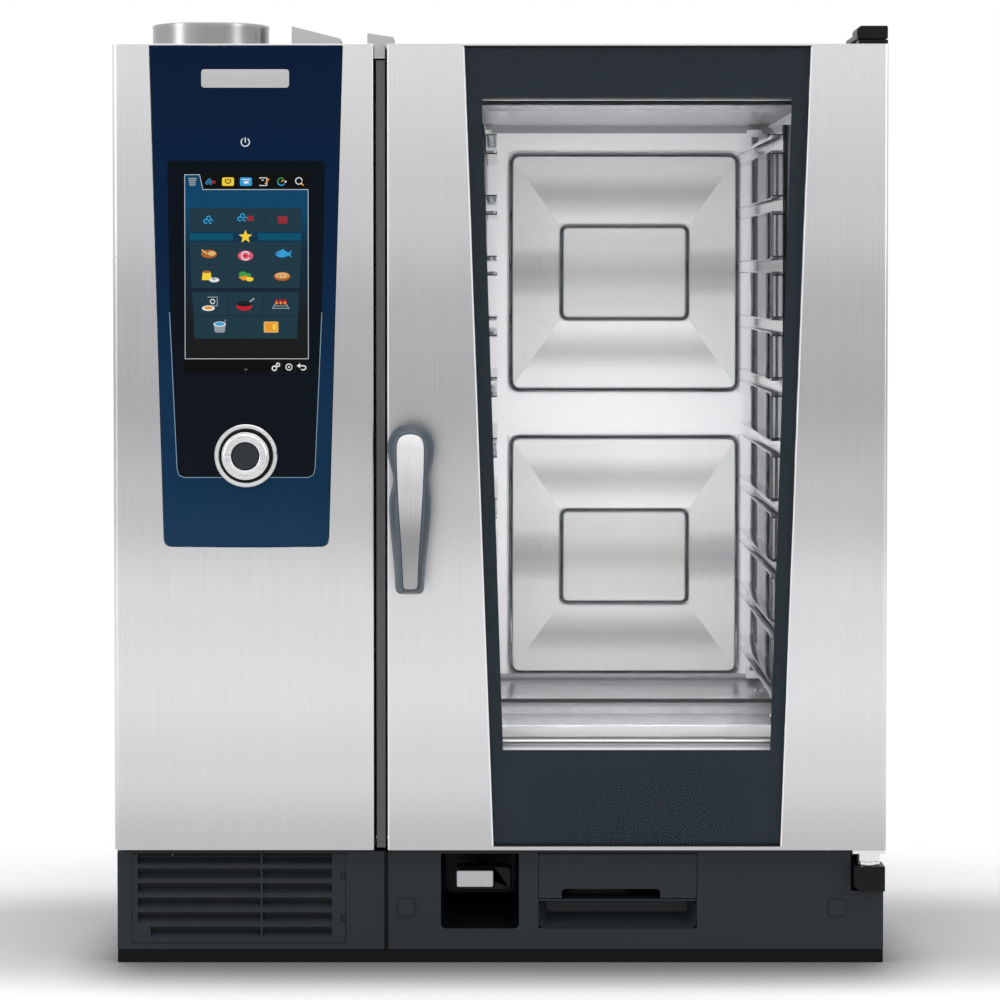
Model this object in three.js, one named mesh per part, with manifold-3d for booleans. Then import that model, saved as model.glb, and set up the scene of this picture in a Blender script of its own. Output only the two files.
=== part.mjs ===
// Table-top combi steamer oven for ten GN 1/1 trays.
// Millimetres, +Z up. The origin is the middle of the footprint on the table, and the front faces -Y.
import * as THREE from "three";
import { mergeVertices } from "three/addons/utils/BufferGeometryUtils.js";
import Module from "manifold-3d";

const wasm = await Module();
wasm.setup();

// ---------- driving dimensions ----------
const WIDTH = 850;
const HEIGHT = 1014;
const FRONT = -354; // face of the door and of the control fascia
const REAR = 421;
const HALF = WIDTH / 2;
const SHEET = 1.3; // stainless sheet
const GAP = 0.4; // clearance between neighbouring pieces

const DOOR_LEFT = -123.5;
const DOOR_REAR = -292;
const FRAME_FACE = -286; // front face of the cabinet's front frame
const SKIRT_TOP = 128.4; // lower edge of the door and of the fascia
const FASCIA_RIGHT = -139;
const BASE_FACE = -334; // the base panels stand back from the door
const PLINTH_TOP = 14.4;
const BASE_TOP = 124;

const CAVITY = { x0: -150, x1: 350, y1: 274, z0: 242.6, z1: 951.6 };
const MOUTH_LEFT = -62; // left edge of the cavity's mouth in the front frame
const BAFFLE_X = -52;
const FAN_Y = -5;
const FAN_HEIGHTS = { upper: 773, lower: 421 };
const FAN_RADIUS = 140;

const RAIL_COUNT = 10;
const RAIL_PITCH = 68;
const RAIL_TOP = 915.7; // top of the highest rail
const RAIL_HIGH = 15.7;
const RAIL_FLANGE = 12.5;
const RACK_FACES = { left: -16.2, right: 316 }; // inner faces of the rails' webs
const RACK_FRONT = -272;
const RACK_REAR = 236;

const VENT = { x: -350, y: 40, radius: 70, top: 1062 };
const HINGE = { x: 407, y: -335 };
const HANDLE = { x: -97, z: 576 };
const DIAL = { x: -278.9, z: 563.3 };

const FILTER = { x0: -407.5, x1: -171.5, z0: 22, z1: 121.4 };
const SHOWER = { x0: -65.9, x1: 20.6, z0: 37.7 };
const DRAWER = { x0: 42.3, x1: 217.6, z0: 71.2, z1: 121.4 };

// ---------- materials ----------
const FINISH = {
  stainless: [0xb9bcbf, 0.36, 1.0],
  polished: [0xd2d5d8, 0.18, 1.0],
  anthracite: [0x30363c, 0.55, 0.0],
  black: [0x101214, 0.5, 0.0],
  glass: [0x2a323a, 0.08, 0.0],
  navyGlass: [0x0a2341, 0.06, 0.0],
  blueGrey: [0x5f6d7c, 0.45, 0.1],
  rubber: [0x1a1a1b, 0.85, 0.0],
  steel: [0x8f9498, 0.45, 1.0],
  cast: [0x6d7276, 0.6, 0.8],
  brass: [0xb39a57, 0.35, 1.0],
  board: [0x1f5a3a, 0.6, 0.0],
  wool: [0xd9d2bd, 0.95, 0.0],
  matteWhite: [0xe8e8e4, 0.6, 0.0],
};

// ---------- solids ----------
function solidOf(geometry) {
  const bare = geometry.index ? geometry.toNonIndexed() : geometry.clone();
  bare.deleteAttribute("normal");
  bare.deleteAttribute("uv");
  const merged = mergeVertices(bare, 1e-4);
  return new wasm.Manifold(
    new wasm.Mesh({
      numProp: 3,
      vertProperties: new Float32Array(merged.attributes.position.array),
      triVerts: new Uint32Array(merged.index.array),
    }),
  );
}

function geometryOf(solid) {
  const result = solid.getMesh();
  const geometry = new THREE.BufferGeometry();
  geometry.setAttribute("position", new THREE.BufferAttribute(result.vertProperties, 3));
  geometry.setIndex(new THREE.BufferAttribute(result.triVerts, 1));
  geometry.computeVertexNormals();
  return geometry;
}

function box(x0, x1, y0, y1, z0, z1) {
  const geometry = new THREE.BoxGeometry(x1 - x0, y1 - y0, z1 - z0);
  geometry.translate((x0 + x1) / 2, (y0 + y1) / 2, (z0 + z1) / 2);
  return solidOf(geometry);
}

// The matrices turn a drawing's plane and its depth into the named world axes.
const DRAWN_IN = {
  X: new THREE.Matrix4().set(0, 0, 1, 0, 1, 0, 0, 0, 0, 1, 0, 0, 0, 0, 0, 1), // (y, z), deep in +X
  Y: new THREE.Matrix4().set(1, 0, 0, 0, 0, 0, -1, 0, 0, 1, 0, 0, 0, 0, 0, 1), // (x, z), deep in -Y
  Z: new THREE.Matrix4(), // (x, y), deep in +Z
};

function extrude(axis, shape, low, high, bevel = 0, steps = 8) {
  const geometry = new THREE.ExtrudeGeometry(shape, {
    depth: high - low - 2 * bevel,
    bevelEnabled: bevel > 0,
    bevelThickness: bevel,
    bevelSize: bevel,
    bevelOffset: -bevel,
    bevelSegments: 1,
    curveSegments: steps,
  });
  geometry.translate(0, 0, bevel);
  geometry.applyMatrix4(DRAWN_IN[axis]);
  if (axis === "X") geometry.translate(low, 0, 0);
  if (axis === "Y") geometry.translate(0, high, 0);
  if (axis === "Z") geometry.translate(0, 0, low);
  return solidOf(geometry);
}

function polygon(points) {
  const shape = new THREE.Shape();
  shape.moveTo(...points[0]);
  points.slice(1).forEach((point) => shape.lineTo(...point));
  shape.closePath();
  return shape;
}

// A polygon whose corners are rounded, each by its own radius.
function rounded(corners) {
  const path = new THREE.Shape();
  const count = corners.length;
  corners.forEach(([x, y, radius], i) => {
    const here = new THREE.Vector2(x, y);
    const before = new THREE.Vector2(...corners[(i + count - 1) % count].slice(0, 2));
    const after = new THREE.Vector2(...corners[(i + 1) % count].slice(0, 2));
    const inward = before.sub(here).normalize().multiplyScalar(radius).add(here);
    const outward = after.sub(here).normalize().multiplyScalar(radius).add(here);
    if (i === 0) path.moveTo(inward.x, inward.y);
    else path.lineTo(inward.x, inward.y);
    if (radius > 0) path.quadraticCurveTo(x, y, outward.x, outward.y);
  });
  path.closePath();
  return path;
}

function rectangle(x0, x1, y0, y1, radius = 0) {
  return rounded([
    [x0, y0, radius],
    [x1, y0, radius],
    [x1, y1, radius],
    [x0, y1, radius],
  ]);
}

// A round bar along a named axis, from low to high, at the other two coordinates.
function bar(axis, a, b, low, high, radius, sides = 16) {
  const geometry = new THREE.CylinderGeometry(radius, radius, high - low, sides);
  if (axis === "X") {
    geometry.rotateZ(Math.PI / 2);
    geometry.translate((low + high) / 2, a, b);
  }
  if (axis === "Y") geometry.translate(a, (low + high) / 2, b);
  if (axis === "Z") {
    geometry.rotateX(Math.PI / 2);
    geometry.translate(a, b, (low + high) / 2);
  }
  return solidOf(geometry);
}

function tubeAlong(points, radius, steps, sides = 10) {
  const section = new THREE.Shape().absarc(0, 0, radius, 0, Math.PI * 2);
  const path = new THREE.CatmullRomCurve3(points.map((point) => new THREE.Vector3(...point)));
  const options = { steps, extrudePath: path, curveSegments: sides, bevelEnabled: false };
  return solidOf(new THREE.ExtrudeGeometry(section, options));
}

// A pressed field: a rectangle on the plane y0 that narrows to a smaller one on the nearer plane y1.
function frustum(wide, narrow, y0, y1) {
  const ring = ({ x0, x1, z0, z1 }, y) => [x0, y, z0, x1, y, z0, x1, y, z1, x0, y, z1];
  const geometry = new THREE.BufferGeometry();
  const places = new Float32Array([...ring(wide, y0), ...ring(narrow, y1)]);
  geometry.setAttribute("position", new THREE.BufferAttribute(places, 3));
  const faces = [0, 2, 1, 0, 3, 2, 4, 5, 6, 4, 6, 7];
  for (let i = 0; i < 4; i += 1) {
    const next = (i + 1) % 4;
    faces.push(i, next, next + 4, i, next + 4, i + 4);
  }
  geometry.setIndex(faces);
  return solidOf(geometry.toNonIndexed());
}

const union = (solids) => solids.reduce((whole, next) => whole.add(next));
const cut = (solid, tools) => tools.reduce((whole, tool) => whole.subtract(tool), solid);

function piece(group, name, solid, finish) {
  const [color, roughness, metalness] = FINISH[finish];
  const material = new THREE.MeshStandardMaterial({ color, roughness, metalness });
  const mesh = new THREE.Mesh(geometryOf(solid), material);
  mesh.name = name;
  group.add(mesh);
  return mesh;
}

const oven = new THREE.Group();

// ---------- base ----------
const PLINTH_WALL = 10;
const PLINTH_FLOOR = 1.5;
const BASE_PANEL = 3;

function basePlinth() {
  const outer = box(-424, 424, BASE_FACE, REAR - 8, 0, PLINTH_TOP);
  const hollow = box(
    -424 + PLINTH_WALL,
    424 - PLINTH_WALL,
    BASE_FACE + PLINTH_WALL,
    REAR - 8 - PLINTH_WALL,
    PLINTH_FLOOR,
    PLINTH_TOP + 1,
  );
  piece(oven, "base_plinth", outer.subtract(hollow), "black");
}

function basePanels() {
  const low = PLINTH_TOP + GAP;
  const back = BASE_FACE + BASE_PANEL;
  const lip = 22; // the panels' edges turn back by this much
  const left = union([
    box(-424, -128.6, BASE_FACE, back, low, BASE_TOP),
    box(-424, -421, BASE_FACE, FRAME_FACE - GAP, low, BASE_TOP),
    box(-424, -128.6, BASE_FACE, BASE_FACE + lip, BASE_TOP - 2, BASE_TOP),
  ]);
  const filterHole = box(
    FILTER.x0 - GAP,
    FILTER.x1 + GAP,
    BASE_FACE - 1,
    back + 1,
    FILTER.z0 - GAP,
    FILTER.z1 + GAP,
  );
  piece(oven, "base_panel_left", left.subtract(filterHole), "anthracite");

  const grip = { x0: DRAWER.x0, x1: DRAWER.x1, z0: 38, z1: 68.5, deep: 30 };
  const gripCup = box(
    grip.x0 - 2,
    grip.x1 + 2,
    BASE_FACE,
    BASE_FACE + grip.deep + 2,
    grip.z0 - 2,
    grip.z1 + 2,
  );
  const right = cut(
    union([
      box(-124.2, 424, BASE_FACE, back, low, BASE_TOP),
      box(421, 424, BASE_FACE, FRAME_FACE - GAP, low, BASE_TOP),
      gripCup,
    ]),
    [
      box(grip.x0, grip.x1, BASE_FACE - 1, BASE_FACE + grip.deep, grip.z0, grip.z1),
      box(
        DRAWER.x0 - GAP,
        DRAWER.x1 + GAP,
        BASE_FACE - 1,
        BASE_FACE + grip.deep + 9,
        grip.z1 + 2,
        BASE_TOP - 2,
      ),
      extrude(
        "Y",
        rounded([
          [SHOWER.x0, SHOWER.z0, 7],
          [SHOWER.x1, SHOWER.z0, 7],
          [SHOWER.x1, 121.4, 0],
          [SHOWER.x0, 121.4, 0],
        ]),
        BASE_FACE - 1,
        back + 1,
      ),
      box(388, 425, BASE_FACE - 1, FRAME_FACE, 80, BASE_TOP + 1),
    ],
  );
  // two square caps cover the panel's screws
  const plugs = [-103.8, 373].map((x) =>
    extrude("Y", rectangle(x - 9.6, x + 9.6, 52, 71, 3), BASE_FACE - 2.5, BASE_FACE + 1, 1, 3),
  );
  piece(oven, "base_panel_right", union([right, ...plugs]), "anthracite");
}

function showerHolder() {
  const y0 = BASE_FACE + BASE_PANEL + GAP;
  const outer = box(SHOWER.x0 - 2, SHOWER.x1 + 2, y0, -232, SHOWER.z0 - 2, 123.4);
  const hollow = box(SHOWER.x0, SHOWER.x1, y0 - 1, -234, SHOWER.z0, 121.4);
  piece(oven, "shower_holder", outer.subtract(hollow), "black");
}

// ---------- structure and casing ----------
function chassis() {
  const bars = 13;
  const [x0, x1, y0, y1] = [-418, 418, -276, 410];
  const post = (x, y) => box(x, x + bars, y, y + bars, PLINTH_TOP + GAP, 1004);
  const along = (x, z) => box(x, x + bars, y0, y1, z, z + bars);
  const across = (y, z) => box(x0, x1, y, y + bars, z, z + bars);
  const [low, high] = [176, 978];
  const frame = union([
    post(x0, y0),
    post(x0, y1 - bars),
    post(x1 - bars, y0),
    post(x1 - bars, y1 - bars),
    along(x0, low),
    along(x1 - bars, low),
    across(y0, low),
    across(y1 - bars, low),
    along(x0, high),
    along(x1 - bars, high),
    across(y1 - bars, high),
  ]);
  piece(oven, "chassis_frame", frame, "steel");
}

function casing() {
  const front = FRAME_FACE + GAP;
  const top = HEIGHT - SHEET - GAP;
  [
    ["left", -HALF, -HALF + SHEET],
    ["right", HALF - SHEET, HALF],
  ].forEach(([side, x0, x1]) => {
    const louvres = [];
    for (let row = 0; row < 6; row += 1) {
      const z = 60 + row * 15;
      louvres.push(box(x0 - 1, x1 + 1, 250, 370, z, z + 6));
    }
    const wall = box(x0, x1, FRAME_FACE, REAR - SHEET - GAP, PLINTH_TOP + GAP, top);
    piece(oven, `side_panel_${side}`, cut(wall, louvres), "stainless");
  });

  const rear = box(-HALF, HALF, REAR - SHEET, REAR, PLINTH_TOP + GAP, top);
  const slots = [];
  for (let row = 0; row < 6; row += 1) {
    slots.push(box(-390, -250, REAR - 5, REAR + 1, 820 + row * 18, 828 + row * 18));
  }
  const ports = [
    bar("Y", -330, 92, REAR - 5, REAR + 1, 14.5, 20),
    bar("Y", -270, 92, REAR - 5, REAR + 1, 14.5, 20),
    bar("Y", -385, 150, REAR - 5, REAR + 1, 13, 20),
    bar("Y", 130, 75, REAR - 5, REAR + 1, 27, 24),
  ];
  piece(oven, "rear_panel", cut(rear, [...slots, ...ports]), "stainless");

  const lid = box(-HALF, HALF, front, REAR, HEIGHT - SHEET, HEIGHT);
  const holes = [
    bar("Z", VENT.x, VENT.y, HEIGHT - 5, HEIGHT + 1, VENT.radius + GAP, 40),
    box(-249, -195, 32, 68, HEIGHT - 5, HEIGHT + 1),
    box(-158, -132, 36, 64, HEIGHT - 5, HEIGHT + 1),
  ];
  piece(oven, "top_panel", cut(lid, holes), "stainless");
}

function ventParts() {
  const pipe = bar("Z", VENT.x, VENT.y, 998, VENT.top, VENT.radius, 40);
  const bore = bar("Z", VENT.x, VENT.y, 990, VENT.top + 1, VENT.radius - SHEET, 40);
  piece(oven, "vent_pipe", pipe.subtract(bore), "stainless");

  // Each cowl is a folded sheet hood over its slot in the top, open to the right.
  const low = HEIGHT + GAP;
  const cowl = (name, x0, x1, y0, y1, high, drop) => {
    const outside = polygon([[x0, low], [x1, low], [x1, high - drop], [x0, high]]);
    const inside = polygon([[x0 + 1.5, low - 1], [x1 + 1, low - 1], [x1 + 1, high - drop - 3], [x0 + 1.5, high - 3]]);
    const hood = extrude("Y", outside, y0, y1).subtract(extrude("Y", inside, y0 + 1.5, y1 - 1.5));
    piece(oven, name, hood, "stainless");
  };
  cowl("vent_cowl_large", -252, -193, 28, 72, 1061.5, 15);
  cowl("vent_cowl_small", -161, -129, 32, 68, 1053.5, 5);
}

// ---------- control side ----------
const GLASS = { top: 1011.6, bottom: 463.7, leftTop: -383.6, rightTop: -172.8, leftLow: -368.7, rightLow: -188.9 };

function controlGlassOutline(grow) {
  const shape = new THREE.Shape();
  const z0 = GLASS.bottom - grow;
  const z1 = GLASS.top + grow;
  const corner = 9;
  shape.moveTo(GLASS.leftLow - grow + corner, z0);
  shape.quadraticCurveTo(DIAL.x, z0 - 1.5, GLASS.rightLow + grow - corner, z0);
  shape.quadraticCurveTo(GLASS.rightLow + grow, z0, GLASS.rightLow + grow + 0.3, z0 + corner);
  shape.lineTo(GLASS.rightTop + grow, z1);
  shape.lineTo(GLASS.leftTop - grow, z1);
  shape.lineTo(GLASS.leftLow - grow - 0.3, z0 + corner);
  shape.quadraticCurveTo(GLASS.leftLow - grow, z0, GLASS.leftLow - grow + corner, z0);
  return shape;
}

function controlSide() {
  const radius = 9;
  const back = FRAME_FACE - GAP;
  const plan = (inset) =>
    rounded([
      [-HALF + inset, back + inset, 0],
      [-HALF + inset, FRONT + inset, radius],
      [FASCIA_RIGHT - inset, FRONT + inset, 1.5],
      [FASCIA_RIGHT - inset, back + inset, 0],
    ]);
  const shell = extrude("Z", plan(0), SKIRT_TOP, HEIGHT);
  const hollow = extrude("Z", plan(SHEET), SKIRT_TOP + SHEET, HEIGHT - SHEET);
  const cover = cut(shell, [
    hollow,
    box(-HALF + 14, FASCIA_RIGHT - 8, back - 4, back + 1, SKIRT_TOP + 14, HEIGHT - 14),
    extrude("Y", controlGlassOutline(GAP), FRONT - 1, FRONT + 3),
  ]);
  piece(oven, "control_cover", cover, "stainless");

  const glass = cut(extrude("Y", controlGlassOutline(0), FRONT - 0.6, FRONT + 3.4), [
    bar("Y", DIAL.x, DIAL.z, FRONT - 2, FRONT + 5, 7, 20),
  ]);
  piece(oven, "control_glass", glass, "navyGlass");

  const screen = { x0: -346, x1: -209.5, z0: 653, z1: 871 };
  piece(
    oven,
    "display_module",
    box(screen.x0, screen.x1, FRONT + 3.8, FRONT + 16, screen.z0, screen.z1),
    "black",
  );

  const bezel = bar("Y", DIAL.x, DIAL.z, FRONT - 4.6, FRONT - 1, 34.5, 48);
  piece(oven, "dial_bezel", bezel.subtract(bar("Y", DIAL.x, DIAL.z, FRONT - 6, FRONT, 27.8, 48)), "polished");

  // the dial's encoder sits on the board, and its socket takes the button's shaft
  const board = cut(
    union([
      box(-378, -176, FRONT + 20, FRONT + 22, 470, 905),
      box(DIAL.x - 14, DIAL.x + 14, FRONT + 4, FRONT + 24, DIAL.z - 14, DIAL.z + 14),
    ]),
    [bar("Y", DIAL.x, DIAL.z, FRONT, FRONT + 20, 4.6, 16)],
  );
  piece(oven, "control_board", board, "board");

  // a folded strip lines the gap beside the door, which swings past it with about 1 mm to spare
  const [stripLeft, stripRight] = [FASCIA_RIGHT + GAP, DOOR_LEFT - 3];
  piece(
    oven,
    "channel_strip",
    union([
      box(stripLeft + 2, stripRight, FRONT + 12, FRAME_FACE - GAP, SKIRT_TOP + 1, HEIGHT - 17),
      box(stripLeft, stripRight, FRONT + 8, FRAME_FACE - GAP, HEIGHT - 16, HEIGHT - 1),
      box(stripLeft, stripRight, FRAME_FACE - 4, FRAME_FACE - GAP, SKIRT_TOP + 1, HEIGHT - 1),
    ]),
    "steel",
  );

  piece(oven, "power_board", box(-404, -402, -180, 60, 520, 860), "board");
}

// ---------- cavity ----------
function frontFrame() {
  const ring = box(DOOR_LEFT - 2, HALF - SHEET - GAP, FRAME_FACE, FRAME_FACE + 3, 130, HEIGHT - SHEET - GAP);
  const mouth = rectangle(MOUTH_LEFT, CAVITY.x1, CAVITY.z0, CAVITY.z1, 14);
  const catchHole = box(HANDLE.x - 16, HANDLE.x + 12, FRAME_FACE - 1, FRAME_FACE + 4, HANDLE.z - 16, HANDLE.z + 16);
  piece(
    oven,
    "front_frame",
    cut(ring, [extrude("Y", mouth, FRAME_FACE - 1, FRAME_FACE + 4), catchHole]),
    "stainless",
  );

  const outer = rectangle(MOUTH_LEFT - 13, CAVITY.x1 + 13, CAVITY.z0 - 13, CAVITY.z1 + 13, 22);
  const inner = rectangle(MOUTH_LEFT - 2, CAVITY.x1 + 2, CAVITY.z0 - 2, CAVITY.z1 + 2, 14);
  const seal = extrude("Y", outer, DOOR_REAR + GAP, FRAME_FACE - GAP, 1.2, 4);
  piece(oven, "door_seal", seal.subtract(extrude("Y", inner, -300, -280, 0, 4)), "rubber");

  const keeper = cut(box(HANDLE.x - 20, HANDLE.x + 13.5, FRAME_FACE + 3.4, -252, HANDLE.z - 30, HANDLE.z + 30), [
    box(HANDLE.x - 17, HANDLE.x + 11, FRAME_FACE + 3, -256, HANDLE.z - 18, HANDLE.z + 18),
  ]);
  piece(oven, "latch_catch", keeper, "steel");
}

// Two pressed fields stiffen the back wall; each stands proud of it towards the trays.
const BACK_FIELDS = [
  [
    { x0: 9, x1: 306.5, z0: 611, z1: 919 },
    { x0: 74, x1: 241, z0: 702.6, z1: 827 },
  ],
  [
    { x0: 9, x1: 306.5, z0: 247.5, z1: 558 },
    { x0: 74, x1: 241, z0: 340, z1: 465 },
  ],
];
const FIELD_DEPTH = 20;

function cavity() {
  const { x0, x1, y1, z0, z1 } = CAVITY;
  const front = FRAME_FACE + 3 + GAP;
  const plan = (grow) => rectangle(x0 - grow, x1 + grow, z0 - grow, z1 + grow, 16 + grow);
  const shell = extrude("Y", plan(SHEET), front, y1 + SHEET, 0, 4);
  const hollow = extrude("Y", plan(0), front - 1, y1, 0, 4);
  // left of the mouth, a cheek closes the fan space towards the front
  const cheek = box(x0 - 1, MOUTH_LEFT, front, front + SHEET, z0 - 1, z1 + 1);
  const keeperRoom = box(HANDLE.x - 22, HANDLE.x + 22, front - 1, front + 3, HANDLE.z - 32, HANDLE.z + 32);
  const ports = [
    ...Object.values(FAN_HEIGHTS).map((z) => bar("X", FAN_Y, z, x0 - 5, x0 + 3, 16, 16)),
    bar("Z", 150, 0, z0 - 5, z0 + 3, 24, 24),
    bar("X", 205, 600, x0 - 5, x0 + 3, 18, 16),
  ];
  const fieldBacks = BACK_FIELDS.map(([wide, narrow]) => frustum(wide, narrow, y1 + SHEET + 0.01, y1 + SHEET - FIELD_DEPTH));
  const fields = BACK_FIELDS.map(([wide, narrow]) => frustum(wide, narrow, y1 + 0.5, y1 - FIELD_DEPTH));
  // two low bars cross the floor under the racks
  const floorBars = [-262, -12].map((y) =>
    extrude("X", polygon([[y - 13, z0 - 1], [y + 13, z0 - 1], [y + 6, z0 + 12], [y - 6, z0 + 12]]), -40, 340),
  );
  const walls = [shell.subtract(hollow), cheek.subtract(keeperRoom)];
  const body = union([...walls, ...fields, ...floorBars, ...rackEyes()]);
  piece(oven, "cavity_shell", cut(body, [...ports, ...fieldBacks]), "stainless");

  // the wool blanket lies over the top, right, rear and bottom of the cavity
  const blanket = cut(box(x0 + 10, x1 + 36, front + 20, y1 + 40, z0 - 34, z1 + 34), [
    box(x0 - 10, x1 + SHEET + 1, front, y1 + SHEET + 1, z0 - SHEET - 1, z1 + SHEET + 1),
    bar("Z", 150, 0, z0 - 60, z0 + 1, 30, 24),
  ]);
  piece(oven, "insulation_jacket", blanket, "wool");

  const drain = cut(
    union([
      bar("Z", 150, 0, 234, z0 - SHEET - GAP, 29, 20),
      box(60, 240, -90, 90, 140, 200),
      bar("Z", 150, 0, 199, 235, 24, 20),
    ]),
    [box(62, 238, -88, 88, 142, 198), bar("Z", 150, 0, 190, z0, 21, 16)],
  );
  piece(oven, "condenser_box", drain, "steel");
  const drainRoute = [
    [130, 91, 160],
    [130, 130, 160],
    [130, 230, 100],
    [130, 320, 75],
    [130, REAR - 0.5, 75],
  ];
  piece(oven, "drain_pipe", tubeAlong(drainRoute, 24, 10, 6), "black");
}

function airSide() {
  const { z0, z1, x0 } = CAVITY;
  const y0 = -268;
  const y1 = 258;
  const sheet = union([
    box(BAFFLE_X - 2, BAFFLE_X, y0, y1, z0 + 18, z1 - 18),
    box(BAFFLE_X - 30, BAFFLE_X, y0, y0 + 2, z0 + 18, z1 - 18),
    box(BAFFLE_X - 30, BAFFLE_X, y1 - 2, y1, z0 + 18, z1 - 18),
  ]);
  const inlets = Object.values(FAN_HEIGHTS).map((z) => bar("X", FAN_Y, z, BAFFLE_X - 5, BAFFLE_X + 3, 92, 24));
  const guards = Object.values(FAN_HEIGHTS).flatMap((z) => [
    ...[-45, 0, 45].map((shift) =>
      box(BAFFLE_X - 2, BAFFLE_X, FAN_Y + shift - 2, FAN_Y + shift + 2, z - 93, z + 93),
    ),
  ]);
  const sideSlots = [];
  for (let row = 0; row < 5; row += 1) {
    const z = z0 + 90 + row * 128;
    sideSlots.push(box(BAFFLE_X - 5, BAFFLE_X + 3, y0 + 22, y0 + 60, z, z + 10));
    sideSlots.push(box(BAFFLE_X - 5, BAFFLE_X + 3, y1 - 60, y1 - 22, z, z + 10));
  }
  piece(oven, "air_baffle", union([cut(sheet, [...inlets, ...sideSlots]), ...guards]), "stainless");

  Object.entries(FAN_HEIGHTS).forEach(([level, z]) => {
    const motor = union([
      bar("X", FAN_Y, z, -280, -190, 46, 16),
      bar("X", FAN_Y, z, -190.5, -180, 62, 16),
      bar("X", FAN_Y, z, -181, x0 - SHEET - GAP, 16, 12),
    ]);
    const shaftRoom = bar("X", FAN_Y, z, -185, -140, 7, 12);
    piece(oven, `fan_motor_${level}`, motor.subtract(shaftRoom), "cast");

    const coilRadius = FAN_RADIUS + 22;
    const rings = [-118, -100].map((x) => {
      const ring = new THREE.TorusGeometry(coilRadius, 4.2, 5, 22);
      ring.rotateY(Math.PI / 2);
      ring.translate(x, FAN_Y, z);
      return solidOf(ring);
    });
    const feed = bar("X", FAN_Y + coilRadius, z, x0 + GAP, -99, 4, 8);
    piece(oven, `heater_coil_${level}`, union([...rings, feed]), "steel");
  });

  const tank = union([
    bar("Z", -270, 290, 215, 560, 78, 20).subtract(bar("Z", -270, 290, 210, 557, 75, 20)),
    bar("Z", -270, 290, 559, 585, 50, 20),
  ]);
  const steamRoute = [
    [-270, 290, 580],
    [-270, 288, 612],
    [-250, 262, 622],
    [-205, 222, 612],
    [-180, 208, 602],
    [x0 - SHEET - GAP, 205, 600],
  ];
  piece(oven, "steam_generator", union([tank, tubeAlong(steamRoute, 12, 8, 6)]), "steel");

  const inletXs = [-330, -270];
  const valves = union([
    box(-332, -268, REAR - 56, REAR - 40, 84, 100),
    ...inletXs.flatMap((x) => [
      box(x - 18, x + 18, REAR - 60, REAR - 22, 76, 108),
      bar("Y", x, 92, REAR - 23, REAR, 13.5, 16),
      box(x - 12, x + 12, REAR - 58, REAR - 36, 107, 140),
    ]),
  ]);
  const inletBores = inletXs.map((x) => bar("Y", x, 92, REAR - 16, REAR + 1, 9, 12));
  piece(oven, "water_inlets", cut(valves, inletBores), "brass");
  const gland = bar("Y", -385, 150, REAR - 16, REAR - 0.2, 12.4, 12);
  piece(oven, "cable_gland", gland.subtract(bar("Y", -385, 150, REAR - 20, REAR + 3, 7, 12)), "black");
}

// ---------- door ----------
function doorWindow(grow, z0, z1) {
  // the sides of the window lean in towards the bottom
  const lean = (z, top, low) => low + ((top - low) * (z - 131)) / (1013 - 131);
  return polygon([
    [lean(z0, -39.7, -7.5) - grow, z0],
    [lean(z0, 339.8, 308.1) + grow, z0],
    [lean(z1, 339.8, 308.1) + grow, z1],
    [lean(z1, -39.7, -7.5) - grow, z1],
  ]);
}

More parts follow.
